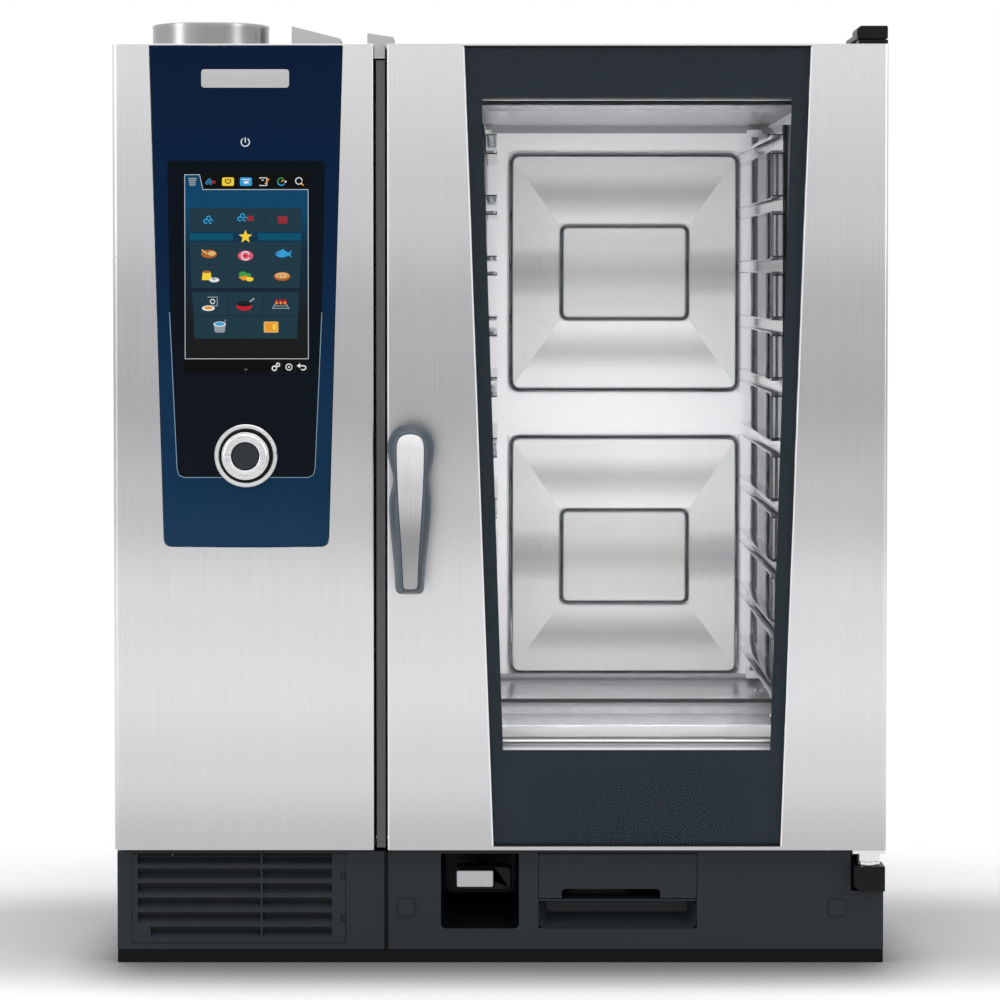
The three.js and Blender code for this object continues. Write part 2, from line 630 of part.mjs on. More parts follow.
function door() {
  const group = new THREE.Group();
  group.position.set(HINGE.x, HINGE.y, 0);
  const swung = (name, solid, finish) => {
    piece(group, name, solid.translate([-HINGE.x, -HINGE.y, 0]), finish);
  };
  const right = HALF;
  const top = HEIGHT;
  const plan = (inset) =>
    rounded([
      [DOOR_LEFT + inset, FRONT + inset, 2.5],
      [right - inset, FRONT + inset, 6],
      [right - inset, DOOR_REAR - 2.4 + inset, 0],
      [DOOR_LEFT + inset, DOOR_REAR - 2.4 + inset, 0],
    ]);
  const spindleHole = bar("Y", HANDLE.x, HANDLE.z, FRONT - 1, FRONT + 5, 9, 20);
  const shell = cut(extrude("Z", plan(0), SKIRT_TOP, top), [
    extrude("Z", plan(SHEET), SKIRT_TOP + SHEET, top - SHEET),
    box(DOOR_LEFT + SHEET, right - SHEET, DOOR_REAR - 8, DOOR_REAR, SKIRT_TOP + SHEET, top - SHEET),
    extrude("Y", doorWindow(0, SKIRT_TOP + 4, top - 3), FRONT - 1, FRONT + 8),
    spindleHole,
    bar("Z", HINGE.x, HINGE.y, SKIRT_TOP - 1, SKIRT_TOP + 3, 6.5, 20),
    bar("Z", HINGE.x, HINGE.y, top - 3, top + 1, 6.5, 20),
  ]);
  swung("door_shell", shell, "stainless");

  const pane = extrude("Y", doorWindow(-GAP, SKIRT_TOP + 4 + GAP, top - 3 - GAP), FRONT + 0.2, FRONT + 5.2);
  swung("door_glass_outer", pane, "glass");

  const rearFrame = cut(
    box(DOOR_LEFT + 0.2, right - 0.2, DOOR_REAR - 2, DOOR_REAR, SKIRT_TOP + 0.2, top - 0.2),
    [
      extrude("Y", rectangle(-49, 343, 224, 972, 10), DOOR_REAR - 5, DOOR_REAR + 1),
      bar("Y", HANDLE.x, HANDLE.z, DOOR_REAR - 5, DOOR_REAR + 1, 14, 20),
    ],
  );
  swung("door_rear_frame", rearFrame, "stainless");

  const holder = cut(box(-62, 356, -312, DOOR_REAR - 2.6, 210, 986), [
    box(-45, 339, -314, -290, 228, 968),
  ]);
  swung("door_glass_holder", holder, "black");
  swung("door_glass_inner", box(-44.5, 338.5, -298, -294, 228.5, 967.5), "glass");
  swung("door_glass_middle", box(-44.5, 338.5, -311, -307, 228.5, 967.5), "glass");
  swung("door_led_strip", box(-78, -66, -325, -311, 260, 930), "matteWhite");
  const tray = box(-80, 380, -344, -316, 132, 146);
  swung("door_drip_tray", tray.subtract(box(-78, 378, -342, -318, 134, 147)), "stainless");

  // hinge leaves carried by the door, above and below it
  const pinTop = union([
    box(392, 424, -352, -318, top + GAP, top + 4.6),
    bar("Z", HINGE.x, HINGE.y, top - 8, top + 8, 5.4, 20),
  ]);
  swung("door_hinge_pin_top", pinTop, "black");
  const pinLow = union([
    box(388, 424, -352, -318, SKIRT_TOP - 4.4, SKIRT_TOP - GAP),
    bar("Z", HINGE.x, HINGE.y, 114.4, SKIRT_TOP - 4, 13, 20),
    bar("Z", HINGE.x, HINGE.y, 104, SKIRT_TOP + 8, 5.4, 20),
  ]);
  swung("door_hinge_pin_bottom", pinLow, "steel");
  oven.add(group);
}

function hingeBrackets() {
  const pinHole = (low, high) => bar("Z", HINGE.x, HINGE.y, low, high, 5.9, 20);
  const topArm = cut(
    union([
      extrude(
        "Y",
        polygon([[390, 1019.4], [424, 1019.4], [424, 1034], [394, 1034], [390, 1030]]),
        -352,
        -300,
      ),
      box(390, 424, -301, -230, 1019.4, 1026),
      box(390, 424, -280, -230, HEIGHT + GAP, 1020),
    ]),
    [pinHole(1010, 1024)],
  );
  piece(oven, "hinge_bracket_top", topArm, "black");

  const lowArm = cut(
    union([
      extrude("Y", polygon([[390, 88], [396, 82], [424, 82], [424, 110], [390, 110]]), -352, -320),
      box(392, 420, -321, -290, 86, 110),
    ]),
    [pinHole(100, 112)],
  );
  piece(oven, "hinge_bracket_bottom", lowArm, "anthracite");
  const washer = bar("Z", HINGE.x, HINGE.y, 110.3, 114.1, 13, 24).subtract(pinHole(108, 116));
  piece(oven, "hinge_washer", washer, "polished");
}

// ---------- door handle, turning about its spindle ----------
function handle() {
  const group = new THREE.Group();
  group.position.set(HANDLE.x, FRONT, HANDLE.z);
  const grip = new THREE.Shape();
  grip.moveTo(9, -160.5);
  grip.lineTo(-11, -160.5);
  grip.quadraticCurveTo(-16.8, -160.5, -16.9, -153);
  grip.bezierCurveTo(-17.5, -120, -23.6, -92, -23.4, -62);
  grip.bezierCurveTo(-23.2, -48, -18.6, -46, -18.8, -34);
  grip.bezierCurveTo(-19, -26, -25.2, -18, -25.2, -1);
  grip.bezierCurveTo(-25.2, 15, -14, 24, 0, 24);
  grip.bezierCurveTo(14, 24, 25.4, 15, 25.4, -1);
  grip.bezierCurveTo(25.4, -18, 20.9, -26, 20.9, -34);
  grip.bezierCurveTo(20.9, -46, 22.4, -48, 22.3, -62);
  grip.bezierCurveTo(22, -92, 15.6, -120, 14.6, -153);
  grip.quadraticCurveTo(14.4, -160.5, 9, -160.5);
  const lever = union([
    extrude("Y", grip, -66, -43, 3, 6),
    bar("Y", 0, 0, -44, -5, 17, 24),
    bar("Y", 0, 0, -5.5, -1.2, 22, 24),
  ]);
  const groove = extrude("Y", inlayOutline(0.3), -68, -63.2, 0, 6);
  piece(group, "handle_grip", lever.subtract(groove), "blueGrey");
  piece(group, "handle_inlay", extrude("Y", inlayOutline(0), -67, -63.6, 0.8, 6), "polished");
  const bolt = union([bar("Y", 0, 0, -0.8, 78, 7, 16), bar("Y", 0, 0, 66, 90, 9, 16)]);
  piece(group, "latch_bolt", bolt, "steel");
  oven.add(group);
}

function inlayOutline(grow) {
  const shape = new THREE.Shape();
  shape.moveTo(-7.3 - grow, -154 - grow);
  shape.bezierCurveTo(-8, -100, -14 - grow, -60, -15 - grow, -8);
  shape.bezierCurveTo(-15 - grow, 8, -8, 14.4 + grow, 0, 14.4 + grow);
  shape.bezierCurveTo(8, 14.4 + grow, 15 + grow, 8, 15 + grow, -8);
  shape.bezierCurveTo(14 + grow, -60, 8, -100, 7.3 + grow, -154 - grow);
  shape.closePath();
  return shape;
}

// ---------- dial: pressed and turned ----------
function dial() {
  const group = new THREE.Group();
  group.position.set(DIAL.x, FRONT, DIAL.z);
  const button = union([bar("Y", 0, 0, -14.4, -11.6, 14.7, 32), bar("Y", 0, 0, -12, 17, 4, 12)]);
  piece(group, "dial_button", button, "anthracite");
  const knob = cut(union([bar("Y", 0, 0, -15, -2.6, 24.1, 40), bar("Y", 0, 0, -12, -2.6, 26.6, 40)]), [
    bar("Y", 0, 0, -16, -11.2, 15.2, 32),
    bar("Y", 0, 0, -12, 0, 4.6, 12),
  ]);
  piece(group, "dial_knob", knob, "polished");
  oven.add(group);
}

// ---------- fan wheels ----------
function fanWheels() {
  Object.entries(FAN_HEIGHTS).forEach(([level, z]) => {
    const group = new THREE.Group();
    group.position.set(-110, FAN_Y, z);
    const blades = [];
    const count = 10;
    for (let i = 0; i < count; i += 1) {
      const blade = new THREE.BoxGeometry(44, 2, 46);
      blade.translate(-1, 0, FAN_RADIUS - 26);
      blade.rotateX((i / count) * Math.PI * 2);
      blades.push(solidOf(blade));
    }
    const ring = bar("X", 0, 0, 19, 21, FAN_RADIUS, 24).subtract(bar("X", 0, 0, 18, 22, FAN_RADIUS - 34, 24));
    const wheel = union([
      bar("X", 0, 0, -24, -22, FAN_RADIUS, 24),
      bar("X", 0, 0, -23, 12, 18, 16),
      bar("X", 0, 0, -66, -22, 6, 12),
      ring,
      ...blades,
    ]);
    piece(group, `fan_wheel_${level}`, wheel, "stainless");
    oven.add(group);
  });
}

// ---------- hanging racks ----------
const PIVOT_ROD = { y: RACK_REAR - 8, low: 253, high: 942 };

function rackRodX(side) {
  return side === "left" ? RACK_FACES.left - 5.2 : RACK_FACES.right + 5.2;
}

function racks() {
  Object.entries(RACK_FACES).forEach(([side, face]) => {
    const inward = side === "left" ? 1 : -1;
    const rodX = rackRodX(side);
    const group = new THREE.Group();
    group.position.set(rodX, PIVOT_ROD.y, 0);
    const across = (a, b, y0, y1, z0, z1) => box(Math.min(a, b), Math.max(a, b), y0, y1, z0, z1);
    const parts = [];
    const lip = (z, rise) => {
      const flared = polygon([
        [RACK_FRONT, z + rise],
        [RACK_FRONT + 16, z],
        [RACK_REAR, z],
        [RACK_REAR, z + 1.4],
        [RACK_FRONT + 16, z + 1.4],
        [RACK_FRONT, z + 1.4 + rise],
      ]);
      const tip = face + inward * RAIL_FLANGE;
      const root = face - inward * 1.4;
      return extrude("X", flared, Math.min(root, tip), Math.max(root, tip));
    };
    for (let row = 0; row < RAIL_COUNT; row += 1) {
      const high = RAIL_TOP - row * RAIL_PITCH;
      parts.push(across(face - inward * 1.4, face, RACK_FRONT + 4, RACK_REAR, high - RAIL_HIGH, high));
      parts.push(lip(high - 1.4, 3));
      parts.push(lip(high - RAIL_HIGH, -3));
    }
    [RACK_FRONT + 22, -20].forEach((y) => {
      parts.push(bar("Z", rodX, y, 268, 928, 5, 6));
    });
    parts.push(bar("Z", rodX, PIVOT_ROD.y, PIVOT_ROD.low, PIVOT_ROD.high, 5, 6));
    parts.push(bar("Y", rodX, 274, RACK_FRONT + 22, PIVOT_ROD.y, 4, 6));
    parts.push(bar("Y", rodX, 924, RACK_FRONT + 22, PIVOT_ROD.y, 4, 6));
    const rack = union(parts).translate([-rodX, -PIVOT_ROD.y, 0]);
    piece(group, `rack_${side}`, rack, "polished");
    oven.add(group);

  });
}

// Each rack's rear rod turns in a blind eye near the floor and another near the ceiling.
function rackEyes() {
  return Object.keys(RACK_FACES).flatMap((side) => {
    const x = rackRodX(side);
    return [PIVOT_ROD.low - 3, PIVOT_ROD.high - 6].map((z) => {
      const eye = union([
        bar("Z", x, PIVOT_ROD.y, z, z + 9, 10, 12),
        box(x - 6, x + 6, PIVOT_ROD.y + 6, CAVITY.y1 + 0.5, z, z + 9),
      ]);
      return eye.subtract(bar("Z", x, PIVOT_ROD.y, PIVOT_ROD.low - GAP, PIVOT_ROD.high + GAP, 5.6, 12));
    });
  });
}

// ---------- pieces that pull out of the base ----------
function pullOuts() {
  const filterPlate = box(FILTER.x0, FILTER.x1, BASE_FACE - 0.6, BASE_FACE + 9, FILTER.z0, FILTER.z1);
  const slots = [];
  const rowPitch = 16.2;
  for (let row = 0; row < 6; row += 1) {
    const z = 28.6 + row * rowPitch;
    const start = row === 0 ? -387.2 : -401.3;
    slots.push(box(start, -265.7, BASE_FACE - 2, BASE_FACE + 10, z, z + 11));
    slots.push(box(-263.1, -186.7, BASE_FACE - 2, BASE_FACE + 10, z, z + 11));
  }
  const notches = [45, 93].map((z) => box(-177, -170, BASE_FACE - 2, BASE_FACE + 2, z, z + 8));
  piece(oven, "air_filter", cut(filterPlate, [...slots, ...notches]), "anthracite");

  const front = cut(
    extrude("Y", rectangle(DRAWER.x0, DRAWER.x1, DRAWER.z0, DRAWER.z1, 2), BASE_FACE - 0.6, BASE_FACE + 8, 0.8, 3),
    [extrude("Y", rectangle(67.8, 177.2, 66, 82, 5), BASE_FACE - 2, BASE_FACE + 12, 0, 3)],
  );
  const tub = box(DRAWER.x0 + 3, DRAWER.x1 - 3, BASE_FACE + 7.5, BASE_FACE + 160, 84, DRAWER.z1 - 2);
  const inside = box(DRAWER.x0 + 5, DRAWER.x1 - 5, BASE_FACE + 10, BASE_FACE + 158, 86, DRAWER.z1 + 1);
  piece(oven, "care_drawer", union([front, tub]).subtract(inside), "anthracite");

  const head = union([
    extrude("Y", rectangle(-50, 13, 77, 105, 8), -318, -296, 2, 4),
    bar("Y", -20, 91, -297, -262, 11, 16),
  ]);
  const leverGap = box(-52, -6, -320, -306, 81, 102.6);
  piece(oven, "hand_shower", head.subtract(leverGap), "black");

  const paddle = union([
    extrude("Y", rectangle(-49, -7.6, 82.3, 101.4, 2.5), -327, -321, 1, 4),
    box(-14, -7.8, -321.4, -310, 86, 98),
  ]);
  piece(oven, "shower_lever", paddle, "polished");
}

basePlinth();
basePanels();
showerHolder();
chassis();
casing();
ventParts();
controlSide();
frontFrame();
cavity();
airSide();
door();
hingeBrackets();
handle();
dial();
fanWheels();
racks();
pullOuts();

export default oven;
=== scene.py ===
# Looks of the table-top combi steamer oven: every visible surface, in metres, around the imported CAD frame.
import math

import bmesh
import bpy
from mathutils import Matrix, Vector
from mathutils.geometry import tessellate_polygon


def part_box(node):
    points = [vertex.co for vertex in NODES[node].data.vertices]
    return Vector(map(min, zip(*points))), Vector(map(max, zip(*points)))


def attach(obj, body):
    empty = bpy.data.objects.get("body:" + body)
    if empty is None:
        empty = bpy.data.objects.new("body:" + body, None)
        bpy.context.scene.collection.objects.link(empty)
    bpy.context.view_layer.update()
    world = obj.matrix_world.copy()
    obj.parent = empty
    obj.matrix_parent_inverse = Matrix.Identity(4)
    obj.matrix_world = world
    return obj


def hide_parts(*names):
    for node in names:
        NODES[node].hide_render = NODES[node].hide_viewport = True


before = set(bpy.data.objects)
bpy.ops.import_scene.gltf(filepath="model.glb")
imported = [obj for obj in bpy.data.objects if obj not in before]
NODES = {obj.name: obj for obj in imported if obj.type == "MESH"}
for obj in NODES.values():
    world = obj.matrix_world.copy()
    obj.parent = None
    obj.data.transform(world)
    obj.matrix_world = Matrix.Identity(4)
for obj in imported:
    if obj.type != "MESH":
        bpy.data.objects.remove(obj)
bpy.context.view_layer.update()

MM = 0.001

# ---------- driving dimensions, from the frame ----------
COVER_LOW, COVER_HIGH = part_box("control_cover")
DOOR_LOW, DOOR_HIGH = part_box("door_shell")
GLASS_LOW, GLASS_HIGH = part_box("control_glass")
PANE_LOW, PANE_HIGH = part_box("door_glass_outer")
RING_LOW, RING_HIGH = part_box("dial_bezel")
GRIP_LOW, GRIP_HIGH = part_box("handle_grip")
FILTER_LOW, FILTER_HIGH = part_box("air_filter")
VENT_LOW, VENT_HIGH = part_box("vent_pipe")
BACK_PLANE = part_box("rear_panel")[1].y
FACE = GLASS_LOW.y  # front of the control glass
DIAL_X = (RING_LOW.x + RING_HIGH.x) / 2
DIAL_Z = (RING_LOW.z + RING_HIGH.z) / 2


# ---------- camera ----------
CAMERA_PLACE = (0.004, -4.054, 0.759)
CAMERA_TILT = 1.8  # degrees below level
CAMERA_LENS = 121.58


def make_camera():
    data = bpy.data.cameras.new("camera")
    data.lens = CAMERA_LENS
    data.sensor_width = 36
    data.shift_x = -0.004
    data.shift_y = -0.1167
    data.clip_start = 0.1
    data.clip_end = 60
    camera = bpy.data.objects.new("camera", data)
    bpy.context.scene.collection.objects.link(camera)
    camera.location = CAMERA_PLACE
    camera.rotation_euler = (math.radians(90 - CAMERA_TILT), 0, 0)
    bpy.context.scene.camera = camera


make_camera()


# ---------- materials ----------
def new_material(name, color, roughness, metallic=0.0, **sockets):
    material = bpy.data.materials.new(name)
    material.use_nodes = True
    shader = material.node_tree.nodes["Principled BSDF"]
    shader.inputs["Base Color"].default_value = (*color, 1)
    shader.inputs["Roughness"].default_value = roughness
    shader.inputs["Metallic"].default_value = metallic
    for socket, value in sockets.items():
        shader.inputs[socket.replace("_", " ")].default_value = value
    return material


def shader_of(material):
    return material.node_tree.nodes["Principled BSDF"]


def add_node(material, kind, **values):
    node = material.node_tree.nodes.new(kind)
    for key, value in values.items():
        if key in node.inputs:
            node.inputs[key].default_value = value
        else:
            setattr(node, key, value)
    return node


def link(material, source, target):
    material.node_tree.links.new(source, target)


def feed(material, source, socket):
    link(material, source, shader_of(material).inputs[socket])


def noise(material, scale, detail, roughness=0.5):
    """A noise over the object's own coordinates, stretched by a scale for each axis."""
    place = add_node(material, "ShaderNodeTexCoord")
    mapping = add_node(material, "ShaderNodeMapping", Scale=scale)
    texture = add_node(material, "ShaderNodeTexNoise", Scale=1.0, Detail=detail, Roughness=roughness)
    link(material, place.outputs["Object"], mapping.inputs["Vector"])
    link(material, mapping.outputs["Vector"], texture.inputs["Vector"])
    return texture.outputs["Fac"]


def spread(material, value, low, high, start=0.3, end=0.7, **settings):
    """Maps start to end onto low to high; the defaults suit a noise, which seldom leaves its middle."""
    node = add_node(material, "ShaderNodeMapRange", **settings)
    for socket, number in (("From Min", start), ("From Max", end), ("To Min", low), ("To Max", high)):
        node.inputs[socket].default_value = number
    link(material, value, node.inputs["Value"])
    return node.outputs["Result"]


def tinted(material, value, dark, light):
    """Mixes two colours by a 0 to 1 value and feeds the base colour."""
    mix = add_node(material, "ShaderNodeMix", data_type="RGBA")
    mix.inputs[6].default_value = (*dark, 1)
    mix.inputs[7].default_value = (*light, 1)
    link(material, value, mix.inputs[0])
    feed(material, mix.outputs[2], "Base Color")


def bumped(material, value, strength, distance):
    node = add_node(material, "ShaderNodeBump", Strength=strength, Distance=distance)
    link(material, value, node.inputs["Height"])
    feed(material, node.outputs["Normal"], "Normal")


def fill_ramp(ramp, stops):
    """Sets a colour ramp's stops; a single number is a grey with a touch of blue."""
    elements = ramp.color_ramp.elements
    while len(elements) < len(stops):
        elements.new(0.5)
    for element, (position, color) in zip(elements, stops):
        element.position = position
        element.color = (*color, 1) if isinstance(color, tuple) else (color, color, color * 1.01, 1)


def steps_by_height(material, stops, low, high, fold=False):
    """A grey that follows the object's own height between low and high; fold mirrors it about zero."""
    place = add_node(material, "ShaderNodeTexCoord")
    split = add_node(material, "ShaderNodeSeparateXYZ")
    ramp = add_node(material, "ShaderNodeValToRGB")
    ramp.color_ramp.interpolation = "EASE"
    fill_ramp(ramp, stops)
    link(material, place.outputs["Object"], split.inputs[0])
    height = split.outputs["Z"]
    if fold:
        mirror = add_node(material, "ShaderNodeMath", operation="ABSOLUTE")
        link(material, height, mirror.inputs[0])
        height = mirror.outputs[0]
    link(material, spread(material, height, 0.0, 1.0, low, high), ramp.inputs["Fac"])
    return ramp.outputs["Color"]


def brushed(name, tone, roughness, grain, contrast=0.05, strength=0.03, painted_reflection=None, metallic=1.0):
    """Brushed stainless: long fine scratches along one axis, with a soft cloudiness over them.
    Its optional height bands are a painted reflection: light and dark tones by height, given as (stops, low,
    high, fold); without them the tone is even."""
    material = new_material(name, tone, roughness, metallic)
    scratch = noise(material, grain, detail=3.0, roughness=0.6)
    cloud = noise(material, (2.6, 2.6, 2.0), detail=2.0)
    total = add_node(material, "ShaderNodeMath", operation="MULTIPLY_ADD")
    total.inputs[1].default_value = 0.4
    link(material, cloud, total.inputs[0])
    link(material, scratch, total.inputs[2])
    level = spread(material, total.outputs[0], 1.0 - contrast, 1.0 + contrast * 0.4, 0.40, 1.0)
    paint = add_node(material, "ShaderNodeMix", data_type="RGBA", blend_type="MULTIPLY")
    paint.inputs[0].default_value = 1.0
    paint.inputs[6].default_value = (*tone, 1)
    if painted_reflection:
        stops, low, high, fold = painted_reflection
        link(material, steps_by_height(material, stops, low, high, fold), paint.inputs[6])
    link(material, level, paint.inputs[7])
    feed(material, paint.outputs[2], "Base Color")
    rough = spread(material, scratch, roughness - 0.03, roughness + 0.05)
    feed(material, rough, "Roughness")
    bumped(material, scratch, strength, 0.0002)
    return material


def moulded(name, color, roughness, grain=1400.0, strength=0.12, gloss=0.25):
    """Moulded plastic: a fine pebbled texture and a faint unevenness of tone."""
    material = new_material(name, color, roughness, Specular_IOR_Level=gloss)
    pebble = noise(material, (grain, grain, grain), detail=2.0)
    patch = noise(material, (7.0, 7.0, 7.0), detail=2.0)
    tinted(material, spread(material, patch, 0.0, 1.0), tuple(c * 0.88 for c in color), color)
    rough = spread(material, pebble, roughness - 0.05, roughness + 0.05)
    feed(material, rough, "Roughness")
    bumped(material, pebble, strength, 0.0002)
    return material


def light_of(*levels):
    """Scene-linear values of a colour given in bytes."""
    return tuple((c / 255 / 12.92) if c < 11 else ((c / 255 + 0.055) / 1.055) ** 2.4 for c in levels)


def glowing(name, color, strength=1.0):
    """A lit area of the screen, glossy from the glass over it."""
    lit = light_of(*color)
    material = new_material(name, (0.002, 0.002, 0.002), 0.08, Specular_IOR_Level=0.06)
    shader_of(material).inputs["Emission Color"].default_value = (*lit, 1)
    shader_of(material).inputs["Emission Strength"].default_value = strength
    return material


def inked(name, stops, roughness, low, high, gloss):
    """Ink behind glass whose colour changes with height."""
    material = new_material(name, light_of(*stops[0][1]), roughness, Specular_IOR_Level=gloss)
    levels = [(position, light_of(*color)) for position, color in stops]
    color = steps_by_height(material, levels, low, high)
    feed(material, color, "Base Color")
    return material


# Painted reflection on the front sheet: its tone rises and falls with height in bands that stand for the
# studio mirrored in the steel.
CASING_PAINTED_REFLECTION = (
    [(0.0, 0.57), (0.10, 0.74), (0.20, 0.82), (0.31, 0.78), (0.43, 0.59)]
    + [(0.56, 0.47), (0.66, 0.50), (0.8, 0.64), (1.0, 0.76)],
    0.13,
    1.014,
    False,
)
CASING = brushed("casing_steel", (0.68, 0.68, 0.69), 0.28, (900, 900, 9), painted_reflection=CASING_PAINTED_REFLECTION)
# The side, rear, vent and top sheets are the front's steel set darker as painted shade; the top sheet is
# darkest to damp its highlight.
CASING_PLAIN = brushed("casing_steel_plain", (0.54, 0.54, 0.55), 0.30, (900, 900, 9))
CASING_ACROSS = brushed("casing_steel_across", (0.40, 0.40, 0.41), 0.28, (9, 900, 900))
GRAIN = (1500, 1500, 40)
CAVITY = brushed("cavity_steel", (0.92, 0.92, 0.94), 0.34, GRAIN, 0.012, 0.003, metallic=0.45)
LINER = brushed("cavity_liner", (0.43, 0.43, 0.45), 0.22, (40, 900, 900), 0.06, 0.01, metallic=0.6)
FRAME = brushed("frame_steel", (0.56, 0.56, 0.57), 0.30, GRAIN, 0.03, 0.01)
WALL_LINER = brushed("cavity_side", (0.66, 0.66, 0.68), 0.22, GRAIN, 0.03, 0.01, metallic=0.85)


def pressed(name, tone, roughness, stops, low, high):
    """Steel of the pressed back wall with a painted reflection: its tone, light and dark, follows the height
    above and below a pressing's middle.
    """
    return brushed(name, (tone, tone, tone), roughness, GRAIN, 0.02, 0.01, (stops, low, high, True), 0.5)


# Painted reflection and shade: light and dark bands by height on the slopes, caps and flat fields of the
# pressings.
SIDE_PAINTED_REFLECTION = [(0.0, 0.56), (0.10, 0.64), (0.24, 0.96), (0.5, 1.0), (1.0, 0.96)]
CAP_PAINTED_REFLECTION = [(0.0, 0.96), (0.42, 0.60), (0.75, 0.96), (1.0, 1.0)]
FIELD_PAINTED_REFLECTION = [(0.0, (0.52, 0.515, 0.50)), (0.5, (0.66, 0.66, 0.65)), (1.0, (0.74, 0.74, 0.74))]
SLOPE_SIDE = pressed("pressed_steel_side", 0.8, 0.30, SIDE_PAINTED_REFLECTION, 0.0, 0.155)
SLOPE_CAP = pressed("pressed_steel_cap", 0.8, 0.30, CAP_PAINTED_REFLECTION, 0.062, 0.155)
PAINTED_FIELD_STEEL = pressed("pressed_field", 0.6, 0.36, FIELD_PAINTED_REFLECTION, 0.0, 0.062)
BEAD = brushed("bead_steel", (0.86, 0.87, 0.88), 0.09, GRAIN, 0.03, 0.01)
POLISHED = brushed("polished_steel", (0.80, 0.81, 0.82), 0.10, (300, 300, 20), 0.05, 0.01)
# Painted highlight: near-white steel for strips and lips that stand for the bright lines light draws on
# edges.
EDGE_HIGHLIGHT = brushed("edge_highlight_steel", (0.96, 0.96, 0.97), 0.30, (300, 300, 20), 0.02, 0.01)
RACK = brushed("rack_steel", (0.78, 0.79, 0.81), 0.10, (60, 60, 60), 0.10, 0.02)
MILL = brushed("mill_steel", (0.46, 0.465, 0.47), 0.38, (90, 12, 90), 0.2)
SATIN = brushed("satin_metal", (0.80, 0.81, 0.82), 0.24, (900, 900, 14), 0.10)
VENTED = brushed("vent_steel", (0.40, 0.40, 0.405), 0.26, (900, 900, 14), 0.08)
PLATE = brushed("plate_steel", (0.56, 0.56, 0.565), 0.34, (14, 900, 900), 0.06)
LEVER = brushed("lever_steel", (0.50, 0.50, 0.51), 0.34, (14, 900, 900))
CHANNEL = brushed("channel_steel", (0.12, 0.12, 0.125), 0.32, (400, 400, 9), 0.1)
ANTHRACITE = moulded("anthracite_panel", (0.019, 0.0235, 0.0285), 0.46, gloss=0.20)
BLACK = moulded("black_plastic", (0.004, 0.0045, 0.005), 0.36, gloss=0.16)
PLINTH = moulded("plinth_coat", (0.0035, 0.0035, 0.0035), 0.38, gloss=0.10)
GRIP = moulded("handle_plastic", (0.062, 0.080, 0.100), 0.33, 1800.0, 0.06, 0.45)
RUBBER = moulded("seal_rubber", (0.018, 0.018, 0.019), 0.62, 600.0)
BOARD = moulded("circuit_board", (0.02, 0.14, 0.065), 0.45, 300.0)
CAST = moulded("motor_cast", (0.28, 0.29, 0.30), 0.55, 500.0, 0.5)
WOOL = moulded("insulation_wool", (0.68, 0.62, 0.48), 0.95, 160.0, 0.9)
BRASS = brushed("valve_brass", (0.66, 0.52, 0.24), 0.28, (80, 80, 80), 0.1)
DIFFUSER = moulded("led_diffuser", (0.80, 0.80, 0.78), 0.4)
NAVY_STOPS = [(0.0, (20, 50, 76)), (0.16, (10, 43, 70)), (0.7, (0, 26, 54)), (1.0, (0, 20, 46))]
NAVY = inked("control_glass_navy", NAVY_STOPS, 0.10, GLASS_LOW.z, GLASS_HIGH.z, 0.07)
ZONE = inked("control_zone_ink", [(0.0, (9, 16, 24)), (1.0, (3, 10, 20))], 0.10, 0.54, 0.89, 0.06)
PRINT_STOPS = [(0.0, (30, 41, 49)), (0.5, (31, 42, 49)), (1.0, (27, 37, 44))]
PRINT = inked("door_glass_print", PRINT_STOPS, 0.2, 0.13, 1.01, 0.1)
CLEAR = new_material("clear_glass", (0.02, 0.025, 0.025), 0.03, Alpha=0.05, Specular_IOR_Level=1.0)
TINTED = new_material("door_glass", (0.01, 0.015, 0.018), 0.03, Alpha=0.06, Specular_IOR_Level=1.0)
for pane in (CLEAR, TINTED):
    smear = noise(pane, (6.0, 6.0, 6.0), detail=3.0)
    feed(pane, spread(pane, smear, 0.02, 0.05), "Roughness")

SLOT_GROUPS = {
    "brushed_casing": (CASING, CASING_ACROSS, EDGE_HIGHLIGHT, VENTED),
    "inner_steel": (CHANNEL, MILL),
    "cavity_steel": (CAVITY, LINER, WALL_LINER, SLOPE_SIDE, SLOPE_CAP, PAINTED_FIELD_STEEL, BEAD),
    "polished_metal": (POLISHED, PLATE, SATIN, LEVER),
    "rack_steel": (RACK,),
    "anthracite_panel": (ANTHRACITE,),
    "black_plastic": (BLACK,),
    "plinth_black": (PLINTH,),
    "handle_plastic": (GRIP,),
    "door_glass": (PRINT,),
    "seal_rubber": (RUBBER,),
}
SLOTS = {material.name: slot for slot, group in SLOT_GROUPS.items() for material in group}


# ---------- CAD nodes that stay ----------
PIERCED = ("air_filter", "base_panel_left", "base_panel_right")  # their open faces are not merged


def keep(node, material, bevel):
    """A CAD node stays: it gets its material, edges rounded by bevel millimetres and clean shading."""
    piece = NODES[node]
    piece.data.materials.clear()
    piece.data.materials.append(material)
    weld = piece.modifiers.new("weld", "WELD")
    weld.merge_threshold = 0.00001
    if node not in PIERCED:
        flat = piece.modifiers.new("flat", "DECIMATE")
        flat.decimate_type = "DISSOLVE"
        flat.angle_limit = math.radians(0.6)
    if bevel:
        edge = piece.modifiers.new("edge", "BEVEL")
        edge.width = bevel * MM
        edge.segments = 2
        edge.limit_method = "ANGLE"
        edge.angle_limit = math.radians(32)
        edge.harden_normals = True
        edge.use_clamp_overlap = True


